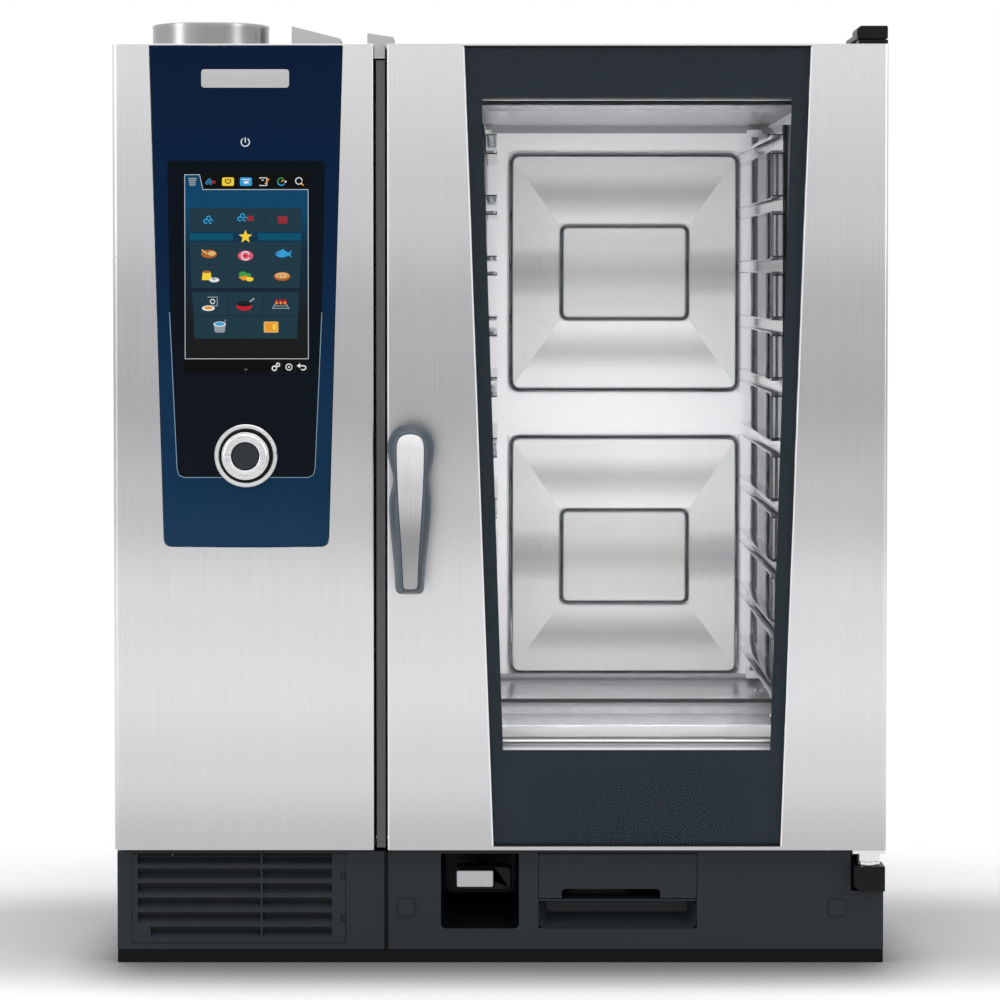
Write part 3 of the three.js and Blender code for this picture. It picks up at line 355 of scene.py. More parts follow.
KEPT = [
    (PLINTH, 1.2, "base_plinth"),
    (ANTHRACITE, 0.8, "base_panel_left base_panel_right care_drawer"),
    (BLACK, 0.6, "shower_holder display_module drain_pipe cable_gland door_hinge_pin_top"),
    (MILL, 0.8, "chassis_frame"),
    (CASING_PLAIN, 0.5, "side_panel_left side_panel_right"),
    (CASING_PLAIN, 0.4, "rear_panel"),
    (CASING_ACROSS, 0.4, "top_panel"),
    (CASING_PLAIN, 0.3, "vent_cowl_large vent_cowl_small"),
    (CASING, 0.7, "control_cover door_shell"),
    (NAVY, 0.6, "control_glass"),
    (BOARD, 0.3, "control_board power_board"),
    (CHANNEL, 0.5, "channel_strip"),
    (FRAME, 0.8, "front_frame"),
    (RUBBER, 1.0, "door_seal"),
    (MILL, 0.6, "latch_catch latch_bolt"),
    (CAVITY, 1.2, "cavity_shell"),
    (WOOL, 4.0, "insulation_jacket"),
    (MILL, 1.0, "condenser_box steam_generator"),
    (WALL_LINER, 0.5, "air_baffle"),
    (CAST, 1.0, "fan_motor_upper fan_motor_lower"),
    (MILL, 0, "heater_coil_upper heater_coil_lower"),
    (BRASS, 0.5, "water_inlets"),
    (TINTED, 0.5, "door_glass_outer"),
    (FRAME, 0.5, "door_rear_frame"),
    (BLACK, 0.8, "door_glass_holder"),
    (CLEAR, 0.4, "door_glass_inner door_glass_middle"),
    (DIFFUSER, 0.8, "door_led_strip"),
    (FRAME, 0.4, "door_drip_tray"),
    (POLISHED, 0.6, "door_hinge_pin_bottom"),
    (BLACK, 2.0, "hinge_bracket_top"),
    (BLACK, 2.4, "hinge_bracket_bottom"),
    (POLISHED, 0.5, "hinge_washer"),
    (CAVITY, 0.4, "fan_wheel_upper fan_wheel_lower"),
    (ANTHRACITE, 0.6, "air_filter"),
    (BLACK, 1.4, "hand_shower"),
    (LEVER, 1.4, "shower_lever"),
]  # material, bevel in millimetres, CAD nodes
for node_material, node_bevel, node_names in KEPT:
    for node_name in node_names.split():
        keep(node_name, node_material, node_bevel)


# ---------- building pieces, in millimetres of the row frame ----------
def build(name, parts, material, body, stands_for=(), sharp=35, origin=(0, 0, 0)):
    """One piece from (vertices, faces) parts. It rides its body and may stand for CAD nodes."""
    verts, faces = merge(parts)
    mesh = bpy.data.meshes.new(name)
    mesh.from_pydata([tuple((v[i] - origin[i]) * MM for i in range(3)) for v in verts], [], faces)
    work = bmesh.new()
    work.from_mesh(mesh)
    bmesh.ops.remove_doubles(work, verts=work.verts, dist=0.000001)
    bmesh.ops.recalc_face_normals(work, faces=work.faces)
    work.to_mesh(mesh)
    work.free()
    for face in mesh.polygons:
        face.use_smooth = True
    mesh.set_sharp_from_angle(angle=math.radians(sharp))
    mesh.materials.append(material)
    piece = bpy.data.objects.new(name, mesh)
    bpy.context.scene.collection.objects.link(piece)
    piece.location = [value * MM for value in origin]
    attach(piece, body)
    if stands_for:
        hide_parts(*stands_for)


def merge(parts):
    verts, faces = [], []
    for part_verts, part_faces in parts:
        start = len(verts)
        verts += part_verts
        faces += [tuple(start + i for i in face) for face in part_faces]
    return verts, faces


def slab(outlines, y0, y1):
    """A flat piece facing the front between two depths: its outer outline, then any holes."""
    flat = [point for outline in outlines for point in outline]
    count = len(flat)
    triangles = tessellate_polygon([[Vector((x, z, 0)) for x, z in outline] for outline in outlines])
    faces = [tuple(t) for t in triangles] + [tuple(i + count for i in reversed(t)) for t in triangles]
    start = 0
    for outline in outlines:
        size = len(outline)
        for i in range(size):
            after = start + (i + 1) % size
            faces.append((start + i, after, after + count, start + i + count))
        start += size
    return [(x, y0, z) for x, z in flat] + [(x, y1, z) for x, z in flat], faces


def box(x0, x1, y0, y1, z0, z1):
    return slab([[(x0, z0), (x1, z0), (x1, z1), (x0, z1)]], y0, y1)


def rounded(corners, steps=6):
    """A closed outline of (x, z, radius) corners."""
    outline = []
    count = len(corners)
    for i, (x, z, radius) in enumerate(corners):
        here = Vector((x, z))
        before = (Vector(corners[i - 1][:2]) - here).normalized() * radius + here
        after = (Vector(corners[(i + 1) % count][:2]) - here).normalized() * radius + here
        if radius == 0:
            outline.append((x, z))
            continue
        for step in range(steps + 1):
            t = step / steps
            point = before * (1 - t) ** 2 + here * 2 * t * (1 - t) + after * t * t
            outline.append(tuple(point))
    return outline


def rectangle(x0, x1, z0, z1, radius=0, steps=6):
    return rounded([(x0, z0, radius), (x1, z0, radius), (x1, z1, radius), (x0, z1, radius)], steps)


def circle(x, z, radius, sides=48, tall=None):
    tall = radius if tall is None else tall
    angles = [2 * math.pi * i / sides for i in range(sides)]
    return [(x + radius * math.cos(a), z + tall * math.sin(a)) for a in angles]


def loft(rings, closed_ends=True):
    """Skins rings of equal point counts, in order."""
    size = len(rings[0])
    verts = [point for ring in rings for point in ring]
    faces = []
    for level in range(len(rings) - 1):
        low, high = level * size, (level + 1) * size
        for i in range(size):
            after = (i + 1) % size
            faces.append((low + i, low + after, high + after, high + i))
    if closed_ends:
        faces.append(tuple(range(size)))
        faces.append(tuple(reversed(range(len(verts) - size, len(verts)))))
    return verts, faces


def lathe(profile, center, axis="Y", sides=64, closed=False):
    """Turns (radius, place along the axis) points around an axis through the centre."""
    rings = []
    for radius, along in profile:
        ring = []
        for i in range(sides):
            angle = 2 * math.pi * i / sides
            a, b = radius * math.cos(angle), radius * math.sin(angle)
            offset = {"Y": (a, along, b), "Z": (a, b, along), "X": (along, a, b)}[axis]
            ring.append(tuple(center[k] + offset[k] for k in range(3)))
        rings.append(ring)
    if closed:
        rings.append(rings[0])
    return loft(rings, not closed)


def tube(path, radius, sides=10, closed=False):
    """A round bar along a path of (x, y, z) points; a closed path has no ends."""
    points = [Vector(point) for point in path]
    count = len(points)
    rings = []
    side = None
    for i, point in enumerate(points):
        before = points[i - 1] if closed or i > 0 else point
        after = points[(i + 1) % count] if closed or i < count - 1 else point
        along = (after - before).normalized()
        if side is None:
            side = along.orthogonal().normalized()
        side = (side - along * side.dot(along)).normalized()
        up = along.cross(side)
        ring = []
        for k in range(sides):
            angle = 2 * math.pi * k / sides
            ring.append(tuple(point + (side * math.cos(angle) + up * math.sin(angle)) * radius))
        rings.append(ring)
    if closed:
        rings.append(rings[0])
    return loft(rings, not closed)


def ribbon(points, width, y0, y1, closed=False):
    """A printed line of even width along (x, z) points."""
    count = len(points)
    left, right = [], []
    for i, point in enumerate(points):
        here = Vector(point)
        before = Vector(points[i - 1]) if closed or i > 0 else here
        after = Vector(points[(i + 1) % count]) if closed or i < count - 1 else here
        first = (here - before).normalized() if here != before else (after - here).normalized()
        second = (after - here).normalized() if after != here else first
        along = (first + second).normalized()
        turn = max(0.5, along.dot(first))
        across = Vector((-along.y, along.x)) * (width / 2 / turn)
        left.append(tuple(here + across))
        right.append(tuple(here - across))
    if closed:
        return slab([left, right], y0, y1)
    return slab([left + right[::-1]], y0, y1)


def mm(corner):
    return tuple(value / MM for value in corner)


# ---------- control glass: printed zone, screen and symbols ----------
INK = 0.05  # thickness of a printed layer
ICON_STEP = 0.003  # each symbol stands this far in front of the one before
MID = DIAL_X / MM
ICON = {
    "blue": (54, 163, 222),
    "red": (200, 28, 44),
    "yellow": (252, 214, 60),
    "white": (232, 236, 238),
    "grey": (150, 160, 166),
    "brown": (176, 98, 44),
    "pink": (226, 92, 120),
    "green": (62, 160, 74),
    "orange": (240, 158, 46),
    "dark": (22, 30, 36),
    "tan": (232, 186, 120),
}


def swirl(x, z, size):
    """Steam: three small open curls."""
    curls = ((-0.55, -0.30, 30), (0.05, 0.40, -20), (0.55, -0.35, 10))
    strokes = []
    for dx, dz, turn in curls:
        path = arc(x + size * dx, z + size * dz, size * 0.42, turn, turn + 285)
        strokes.append(("line", path, size * 0.24, "blue"))
    return strokes


def waves(x, z, size):
    """Heat: stacked wavy strokes."""
    strokes = []
    for row in range(4):
        height = z + size * (0.6 - row * 0.4)
        points = [(x + size * (i / 4 - 1), height + size * 0.09 * math.sin(i * 1.6)) for i in range(9)]
        strokes.append(("line", points, size * 0.2, "red"))
    return strokes


def star(x, z, size):
    points = []
    for i in range(10):
        reach = size if i % 2 == 0 else size * 0.42
        angle = math.pi / 2 + i * math.pi / 5
        points.append((x + reach * math.cos(angle), z + reach * math.sin(angle)))
    return [("poly", points, "yellow")]


def arc(x, z, radius, start, end, steps=14):
    angles = [math.radians(start + (end - start) * i / steps) for i in range(steps + 1)]
    return [(x + radius * math.cos(a), z + radius * math.sin(a)) for a in angles]


def top_icons(z):
    """The row of menu symbols over the screen."""
    shapes = []
    for row in range(4):
        half = 4.4 - row * 0.35
        height = z + 3.4 - row * 2.3
        shapes.append(("line", [(-336.8 - half, height), (-336.8 + half, height)], 1.5, "grey"))
    shapes += swirl(-318.6, z, 3.6) + waves(-313.6, z - 0.4, 2.2)
    shapes += [
        ("poly", rectangle(-304.4, -291.4, z - 4.6, z + 4.6, 2), "yellow"),
        ("line", arc(-297.9, z + 1.2, 3.0, 180, 360), 1.2, "dark"),
        ("line", [(-301.6, z + 2.0), (-294.2, z + 2.0)], 1.0, "dark"),
        ("poly", rectangle(-284.8, -271.8, z - 4.6, z + 4.6, 1.6), "blue"),
        ("poly", rectangle(-280.6, -275.4, z - 2.0, z + 0.6, 0.6), "white"),
        ("line", [(-282.8, z + 2.4), (-273.8, z + 2.4)], 0.9, "white"),
        ("line", rectangle(-263.4, -255.4, z - 4.2, z + 4.2, 0.8, 2), 0.9, "white"),
        ("line", [(-261.4, z + 1.6), (-258.6, z + 1.6)], 0.8, "white"),
        ("line", [(-257.6, z - 2.6), (-252.8, z + 3.2)], 1.2, "orange"),
        ("line", arc(-239.6, z, 4.0, 60, 200), 1.2, "green"),
        ("line", arc(-239.6, z, 4.0, 200, 330), 1.2, "blue"),
        ("line", [(-239.6, z), (-236.6, z + 2.4)], 0.9, "yellow"),
        ("disc", -235.0, z, 1.1, 1.1, "white"),
        ("line", arc(-220.4, z + 0.8, 3.6, 0, 340), 1.0, "white"),
        ("line", [(-217.6, z - 1.9), (-215.4, z - 4.2)], 1.5, "orange"),
    ]
    return shapes


def food_icons(high, low):
    """Small pictures on the food tiles, three to a row."""
    left, right = MID - 40.0, MID + 40.0
    tail = [(right + 5, high), (right + 10.5, high + 4), (right + 9.2, high), (right + 10.5, high - 4)]
    loaf = [(left - 8, low - 4, 1), (left + 3, low - 4, 1)]
    loaf += [(left + 1.6, low + 6, 2), (left - 6.6, low + 6, 2)]
    root = [(MID - 8, low - 0.6), (MID + 2, low + 1.0), (MID + 3, low - 3.2), (MID - 3, low - 4.4)]
    return [
        ("disc", left, high, 8.6, 4.6, "brown"),
        ("disc", left + 3, high + 0.6, 4.4, 2.6, "tan"),
        ("line", [(left - 8, high + 4.6), (left - 2, high)], 1.6, "tan"),
        ("disc", MID, high - 2.0, 8.4, 5.6, "pink"),
        ("line", arc(MID, high - 2.0, 4.4, 20, 330), 1.3, "white"),
        ("disc", MID, high - 2.0, 1.8, 1.3, "red"),
        ("disc", right, high, 7.0, 3.8, "blue"),
        ("poly", tail, "blue"),
        ("poly", [(right - 3, high + 3.2), (right + 1.5, high + 5.6), (right + 3.5, high + 2.8)], "blue"),
        ("disc", right - 4.4, high + 0.8, 0.8, 0.8, "dark"),
        ("poly", rounded(loaf), "yellow"),
        ("disc", left - 2.5, low + 5.0, 4.2, 1.4, "brown"),
        ("disc", left + 5.6, low - 3.8, 5.6, 2.6, "white"),
        ("disc", left + 5.2, low - 2.8, 2.0, 1.2, "grey"),
        ("disc", MID - 3, low + 2.4, 4.4, 3.0, "green"),
        ("disc", MID + 2, low + 1.4, 4.0, 2.4, "green"),
        ("poly", root, "orange"),
        ("disc", MID + 4.4, low - 3.0, 4.2, 2.4, "yellow"),
        ("disc", right, low, 9.0, 4.8, "brown"),
        ("disc", right, low + 1.0, 7.6, 3.2, "tan"),
        ("line", [(right - 4.5, low + 2.6), (right - 3, low - 0.8)], 0.9, "brown"),
        ("line", [(right, low + 2.8), (right + 1.2, low - 0.8)], 0.9, "brown"),
        ("line", [(right + 4.5, low + 2.4), (right + 5.4, low - 0.8)], 0.9, "brown"),
    ]


def cookware_icons(high, low):
    """Small pictures on the lower tiles: utensils and flames, then a pot and a tray."""
    left, right = MID - 38.4, MID + 38.4
    grate = [(right - 6, high), (right - 9, high - 4.6), (right + 9, high - 4.6), (right + 6, high)]
    pot = [(MID - 34.0, low - 6, 2), (MID - 23.0, low - 6, 2)]
    pot += [(MID - 22.0, low + 3, 0), (MID - 35.0, low + 3, 0)]
    flames = []
    for shift in (-4.5, 0, 4.5):
        x = right + shift
        tip = [(x - 2.2, high), (x - 0.6, high + 6.0), (x + 0.6, high + 3.0)]
        tip += [(x + 1.6, high + 4.8), (x + 2.2, high)]
        flames += [("poly", tip, "red"), ("disc", x, high + 1.2, 1.2, 1.5, "orange")]
    return [
        ("line", rectangle(left - 3.0, left + 7.4, high - 2, high + 7.6, 0.8, 2), 1.0, "grey"),
        ("line", arc(left + 2.2, high + 2.8, 2.4, 0, 350), 1.0, "white"),
        ("disc", left - 2.4, high - 4.6, 7.0, 3.0, "white"),
        ("disc", left - 2.4, high - 4.2, 4.6, 1.8, "orange"),
        ("disc", MID - 1.5, high - 2.6, 8.6, 4.6, "red"),
        ("disc", MID - 1.5, high + 0.2, 8.6, 3.0, "dark"),
        ("line", [(MID + 4.5, high + 2.4), (MID + 9.4, high + 6.2)], 1.8, "grey"),
        *flames,
        ("line", grate, 1.0, "grey"),
        ("line", [(right - 7, high - 2.0), (right + 7, high - 2.0)], 0.8, "grey"),
        ("poly", rounded(pot), "grey"),
        ("disc", MID - 28.5, low + 3.2, 6.8, 2.8, "white"),
        ("disc", MID - 28.5, low + 3.4, 5.4, 2.0, "blue"),
        ("line", [(MID - 23.6, low + 4.0), (MID - 21.8, low + 8.4)], 1.0, "grey"),
        ("poly", rectangle(MID + 19.8, MID + 35.8, low - 6, low + 6, 1.4), "tan"),
        ("poly", rectangle(MID + 21.2, MID + 34.4, low - 4.8, low + 4.8, 1.0), "orange"),
        ("poly", rectangle(MID + 29.4, MID + 33.2, low - 3.2, low + 3.2, 1.0), "yellow"),
    ]


def status_icons(z):
    """Gears, a round help mark without a letter, and a back arrow, each in a faint box."""
    shapes = []
    for x in (-245.9, -231.6, -217.2):
        shapes.append(("line", rectangle(x - 6.4, x + 6.4, z - 6.4, z + 6.4, 1, 2), 0.35, "faint"))
    for x, height, radius in ((-247.6, z - 1.4, 2.4), (-243.6, z + 2.4, 1.8)):
        shapes.append(("line", arc(x, height, radius, 0, 352), 1.3, "white"))
    back = [(-221.0, z + 1.4), (-215.4, z + 1.4)]
    back += arc(-215.4, z - 0.8, 2.2, 90, -90, 8) + [(-218.4, z - 3.0)]
    shapes += [
        ("line", arc(-231.6, z, 3.4, 0, 352), 1.1, "white"),
        ("disc", -231.6, z, 1.1, 1.1, "white"),
        ("line", back, 1.3, "white"),
        ("poly", [(-223.0, z + 1.4), (-219.4, z + 4.4), (-219.4, z - 1.6)], "white"),
        ("line", [(MID - 1.4, z - 2.0), (MID, z - 3.4), (MID + 1.4, z - 2.0)], 0.5, "grey"),
    ]
    return shapes


def draw_icons(shapes, depth):
    """Each shape lies a hair in front of the one before, and all shapes of a colour are one piece."""
    by_color = {}
    for order, (kind, *rest) in enumerate(shapes):
        *values, color = rest
        front = depth - ICON_STEP * (order + 1)
        back = front + ICON_STEP / 2
        if kind == "disc":
            x, z, wide, tall = values
            part = slab([circle(x, z, wide, 28, tall)], front, back)
        if kind == "poly":
            part = slab([values[0]], front, back)
        if kind == "line":
            part = ribbon(values[0], values[1], front, back)
        by_color.setdefault(color, []).append(part)
    for color, parts in by_color.items():
        paint = glowing(f"screen_{color}", ICON.get(color, (48, 56, 60)), 0.9)
        ink(f"screen_icons_{color}", parts, paint)


def ink(name, parts, paint):
    """A printed or lit layer on the control glass."""
    build(name, parts, paint, "cabinet")


def control_face():
    face = FACE / MM
    corners = [(-364.3, 886.4, 5), (-191.8, 886.4, 5), (-195.2, 720, 60)]
    corners += [(-203.6, 539.4, 9), (-354.0, 539.4, 9), (-362.2, 720, 60)]
    zone = rounded(corners)
    layer = face - INK
    ink("control_zone", [slab([zone], layer, face + INK)], ZONE)
    edge = [(-362.3, 720.5), (-354.6, 549), (-352.6, 542.0), (-347, 539.4)]
    line = edge + [(2 * MID - x, z) for x, z in reversed(edge)]
    pale = inked("control_line", [(0.0, (120, 146, 164)), (1.0, (120, 146, 164))], 0.2, 0.5, 0.8, 0.1)
    ink("control_zone_line", [ribbon(line, 0.75, layer - INK, layer)], pale)

    x0, x1, z0, z1 = -346.6, -209.0, 653.2, 872.2
    black = glowing("screen_off", (3, 4, 6), 0.3)
    ink("screen_panel", [slab([rectangle(x0, x1, z0, z1, 1)], layer - INK, layer)], black)
    page = [(-345.3, 669.6), (-210.3, 669.6), (-210.3, 854.8)]
    page += [(-325.4, 854.8), (-329.0, 871.0), (-345.3, 871.0)]  # the menu tab
    page_paint = glowing("screen_page", (0, 60, 96))
    stops = [(0.0, (20, 20, 21)), (0.16, (20, 22, 24)), (0.55, (8, 38, 56))]
    stops += [(0.86, (0, 66, 102)), (1.0, (0, 60, 98))]
    glow = steps_by_height(page_paint, [(p, light_of(*c)) for p, c in stops], 0.6696, 0.871)
    feed(page_paint, glow, "Emission Color")
    front = layer - 2 * INK
    ink("screen_page", [slab([page], front, front + INK)], page_paint)
    frame_paint = glowing("screen_outline", (196, 208, 216), 0.9)
    outline = [ribbon(page, 0.7, front - 0.02, front, closed=True)]
    ink("screen_outline", outline, frame_paint)

    tile_paint = glowing("screen_tile", (26, 54, 66))
    split_paint = glowing("screen_tile_gap", (14, 36, 48))
    bar_paint = glowing("screen_bar", (0, 78, 104))
    tiles = []
    gaps = []
    rows = [(834.4, 809.1, 61.7, 61.5, 3), (797.3, 747.2, 61.1, 58.9, 3)]
    rows += [(743.0, 717.6, 58.8, 57.3, 3), (717.0, 691.9, 57.3, 56.0, 2)]
    for top, bottom, half_top, half_bottom, count in rows:
        outline = [(MID - half_bottom, bottom), (MID + half_bottom, bottom)]
        outline += [(MID + half_top, top), (MID - half_top, top)]
        tiles.append(slab([outline], front - 0.02, front))
        for i in range(1, count):
            x = MID - half_top + 2 * half_top * i / count
            gaps.append(ribbon([(x, bottom), (x, top)], 0.5, front - 0.04, front - 0.02))
    gaps.append(ribbon([(MID - 60, 772.5), (MID + 60, 772.5)], 0.5, front - 0.04, front - 0.02))
    gaps.append(ribbon([(MID - 61, 744.6), (MID + 61, 744.6)], 1.6, front - 0.04, front - 0.02))
    ink("screen_tiles", tiles, tile_paint)
    ink("screen_tile_gaps", gaps, split_paint)
    spans = ((-61, -13.5), (13.5, 61))
    bars = [slab([rectangle(MID + a, MID + b, 799.2, 807.1)], front - 0.02, front) for a, b in spans]
    ink("screen_bars", bars, bar_paint)

    shapes = top_icons(863.4)
    shapes += swirl(MID - 40.6, 821.6, 5.0) + swirl(MID - 3.4, 824.4, 5.0) + waves(MID + 5.4, 823.4, 3.6)
    shapes += waves(MID + 40.6, 821.8, 5.2) + star(MID, 803.2, 7.8)
    shapes += food_icons(784.4, 759.8) + cookware_icons(729.6, 704.4) + status_icons(660.6)
    draw_icons(shapes, front - 0.04)

    symbol = inked("panel_symbol", [(0.0, (205, 214, 220)), (1.0, (205, 214, 220))], 0.3, 0.5, 1.0, 0.2)
    power = [
        ribbon(arc(MID, 906.6, 4.5, 125, 415, 30), 1.1, face - INK, face),
        ribbon([(MID, 906.2), (MID, 911.6)], 1.1, face - INK, face),
    ]
    ink("power_symbol", power, symbol)
    plate = loft(
        [
            [(x, face - 1.0, z) for x, z in rectangle(MID - 48 + 1, MID + 48 - 1, 967, 985, 3.4)],
            [(x, face - 0.8, z) for x, z in rectangle(MID - 48, MID + 48, 966, 986, 4)],
            [(x, face, z) for x, z in rectangle(MID - 48, MID + 48, 966, 986, 4)],
        ]
    )
    build("blank_nameplate", [plate], PLATE, "cabinet", sharp=20)


control_face()


# ---------- dial ----------
def dial():
    center = (MID, COVER_LOW.y / MM, DIAL_Z / MM)
    ring = [(34.5, -0.8), (34.5, -3.6), (33.6, -4.5), (32.4, -4.7), (29.0, -4.3), (28.2, -3.6), (27.9, -0.8)]
    knob = [(26.4, -2.8), (26.4, -11.0), (25.6, -11.8), (24.3, -12.0), (24.0, -13.9), (23.0, -14.8)]
    knob += [(21.8, -15.0), (17.0, -14.7), (15.7, -13.9), (15.3, -12.6), (15.3, -9.0)]
    cap = [(14.8, -10.0), (14.8, -12.6), (14.0, -13.5), (9.0, -13.3), (0.01, -13.1)]
    well = [(27.8, -1.0), (27.8, -2.4), (26.6, -2.6), (26.6, -1.0)]
    turned = brushed("turned_steel", (0.80, 0.80, 0.81), 0.22, (90, 700, 700), 0.30)
    SLOTS[turned.name] = "polished_metal"
    hoop = lathe(ring, center, closed=True)
    build("dial_ring", [hoop], turned, "cabinet", stands_for=["dial_bezel"], origin=center)
    build("dial_well", [lathe(well, center, closed=True)], BLACK, "cabinet", origin=center)
    skirt = [(26.5, -2.8), (26.5, -11.2), (24.4, -11.9)]
    build("dial_grip", [lathe(knob, center)], turned, "dial_knob", stands_for=["dial_knob"], origin=center)
    build("dial_skirt", [lathe(skirt, center)], BLACK, "dial_knob", origin=center)
    button = lathe(cap, center)
    build("dial_cap", [button], ANTHRACITE, "dial_button", stands_for=["dial_button"], origin=center)


dial()


# ---------- door handle ----------
def bezier(start, knots, steps=14):
    """Points along joined cubic curves; each knot is (control, control, end)."""
    points = [start]
    for c1, c2, end in knots:
        p0 = Vector(points[-1])
        for step in range(1, steps + 1):
            t = step / steps
            u = 1 - t
            point = p0 * u**3 + Vector(c1) * 3 * u * u * t + Vector(c2) * 3 * u * t * t + Vector(end) * t**3
            points.append(tuple(point))
    return points


def even(outline, count):
    """The same closed outline with evenly spaced points."""
    closed = [Vector(point) for point in outline] + [Vector(outline[0])]
    lengths = [0.0]
    for a, b in zip(closed, closed[1:]):
        lengths.append(lengths[-1] + (b - a).length)
    points = []
    segment = 0
    for i in range(count):
        target = lengths[-1] * i / count
        while lengths[segment + 1] < target:
            segment += 1
        span = lengths[segment + 1] - lengths[segment]
        t = (target - lengths[segment]) / span if span else 0
        points.append(closed[segment].lerp(closed[segment + 1], t))
    return points


def handle():
    x0, z0 = (GRIP_LOW.x + GRIP_HIGH.x) / 2 / MM - 0.1, GRIP_HIGH.z / MM - 24
    face = COVER_LOW.y / MM
    grip = bezier(
        (0, -160.4),
        [
            ((-5, -160.4), (-8, -160.4), (-11, -160.2)),
            ((-14.8, -159.8), (-16.6, -157), (-16.9, -153)),
            ((-17.5, -120), (-23.6, -92), (-23.4, -62)),
            ((-23.2, -48), (-18.6, -46), (-18.8, -34)),
            ((-19, -26), (-25.2, -18), (-25.2, -1)),
            ((-25.2, 15), (-14, 24), (0, 24)),
            ((14, 24), (25.4, 15), (25.4, -1)),
            ((25.4, -18), (20.9, -26), (20.9, -34)),
            ((20.9, -46), (22.4, -48), (22.3, -62)),
            ((22, -92), (15.6, -120), (14.6, -153)),
            ((14.4, -157), (13, -160), (9, -160.4)),
            ((6, -160.4), (3, -160.4), (0, -160.4)),
        ],
    )
    inlay = bezier(
        (0, -154),
        [
            ((-2, -154), (-5, -154), (-6.3, -153.6)),
            ((-7.4, -153.2), (-7.7, -151.8), (-7.8, -150)),
            ((-9.6, -98), (-14.6, -60), (-15.0, -4)),
            ((-15.1, 9), (-12, 13.8), (0, 14.2)),
            ((12, 13.8), (15.1, 9), (15.0, -4)),
            ((14.6, -60), (9.6, -98), (7.8, -150)),
            ((7.7, -151.8), (7.4, -153.2), (6.3, -153.6)),
            ((5, -154), (2, -154), (0, -154)),
        ],
    )
    count = 120
    outer = even(grip[:-1], count)
    border = even(inlay[:-1], count)

    def ring(share, depth, squeeze=0.0):
        """Between the inlay's border (0) and the grip's edge (1)."""
        points = []
        for near, far in zip(border, outer):
            point = near.lerp(far, share)
            point = point - (far - near).normalized() * squeeze
            points.append((x0 + point.x, face + depth, z0 + point.y))
        return points

    rings = [ring(0.0, -64.0), ring(0.02, -66.6), ring(0.10, -67.0), ring(0.22, -66.4), ring(0.5, -62.4)]
    rings += [ring(0.8, -56.2), ring(0.94, -52.4), ring(1.0, -49.6), ring(1.0, -47.4), ring(1.0, -45.0, 0.7)]
    rings += [ring(1.0, -43.6, 2.0), ring(1.0, -43.1, 4.4)]
    center = (x0, face, z0)
    neck = [(22, -1.3), (22, -4.6), (20.6, -6.0), (17.4, -8.5), (16.6, -14), (16.8, -30), (18.6, -44)]
    body = [loft(rings), lathe(neck, center)]
    build("handle_body", body, GRIP, "handle", stands_for=["handle_grip"], sharp=50, origin=center)
    # Painted reflection: the inlay's tone falls and rises with height in bands.
    painted_reflection = ([(0.0, 0.42), (0.3, 0.34), (0.62, 0.66), (0.86, 0.84), (1.0, 0.92)], -0.154, 0.016, False)
    steel = brushed("inlay_steel", (0.74, 0.74, 0.745), 0.26, (900, 900, 12), 0.10, painted_reflection=painted_reflection)
    SLOTS[steel.name] = "polished_metal"
    levels = [(0.0, -64.0), (0.0, -66.6), (0.06, -67.3), (0.16, -67.5)]
    middle = -60  # height about which the plate's rounded edge shrinks
    plates = []
    for share, depth in levels:
        across, tall = 1 - share * 0.5, 1 - share * 0.08
        shrunk = [(p.x * across, middle + (p.y - middle) * tall) for p in border]
        plates.append([(x0 + x, face + depth, z0 + z) for x, z in shrunk])
    plate = [loft(plates)]
    build("handle_plate", plate, steel, "handle", stands_for=["handle_inlay"], sharp=20, origin=center)


handle()


# ---------- vent ----------
def vent():
    base = COVER_HIGH.z / MM
    x, y = (VENT_LOW.x + VENT_HIGH.x) / 2 / MM, (VENT_LOW.y + VENT_HIGH.y) / 2 / MM
    radius = (VENT_HIGH.x - VENT_LOW.x) / 2 / MM
    top = VENT_HIGH.z / MM - base
    pipe = [(0, -16), (0, top - 6), (0.6, top - 3), (0.4, top - 1), (-0.6, top), (-1.6, top - 1), (-1.6, -16)]
    collar = [(0.6, 0.2), (7, 0.2), (7, 1.2), (1.4, 1.8), (0.6, 5)]
    for name, profile, node in (("vent_tube", pipe, ["vent_pipe"]), ("vent_collar", collar, [])):
        turned = lathe([(radius + wide, high) for wide, high in profile], (x, y, base), "Z", 96, closed=True)
        build(name, [turned], VENTED, "cabinet", stands_for=node)


vent()


# ---------- door glass ----------
WINDOW = [(-20.3, 955.3), (319.1, 955.3), (297.1, 238.5), (2.9, 238.5)]


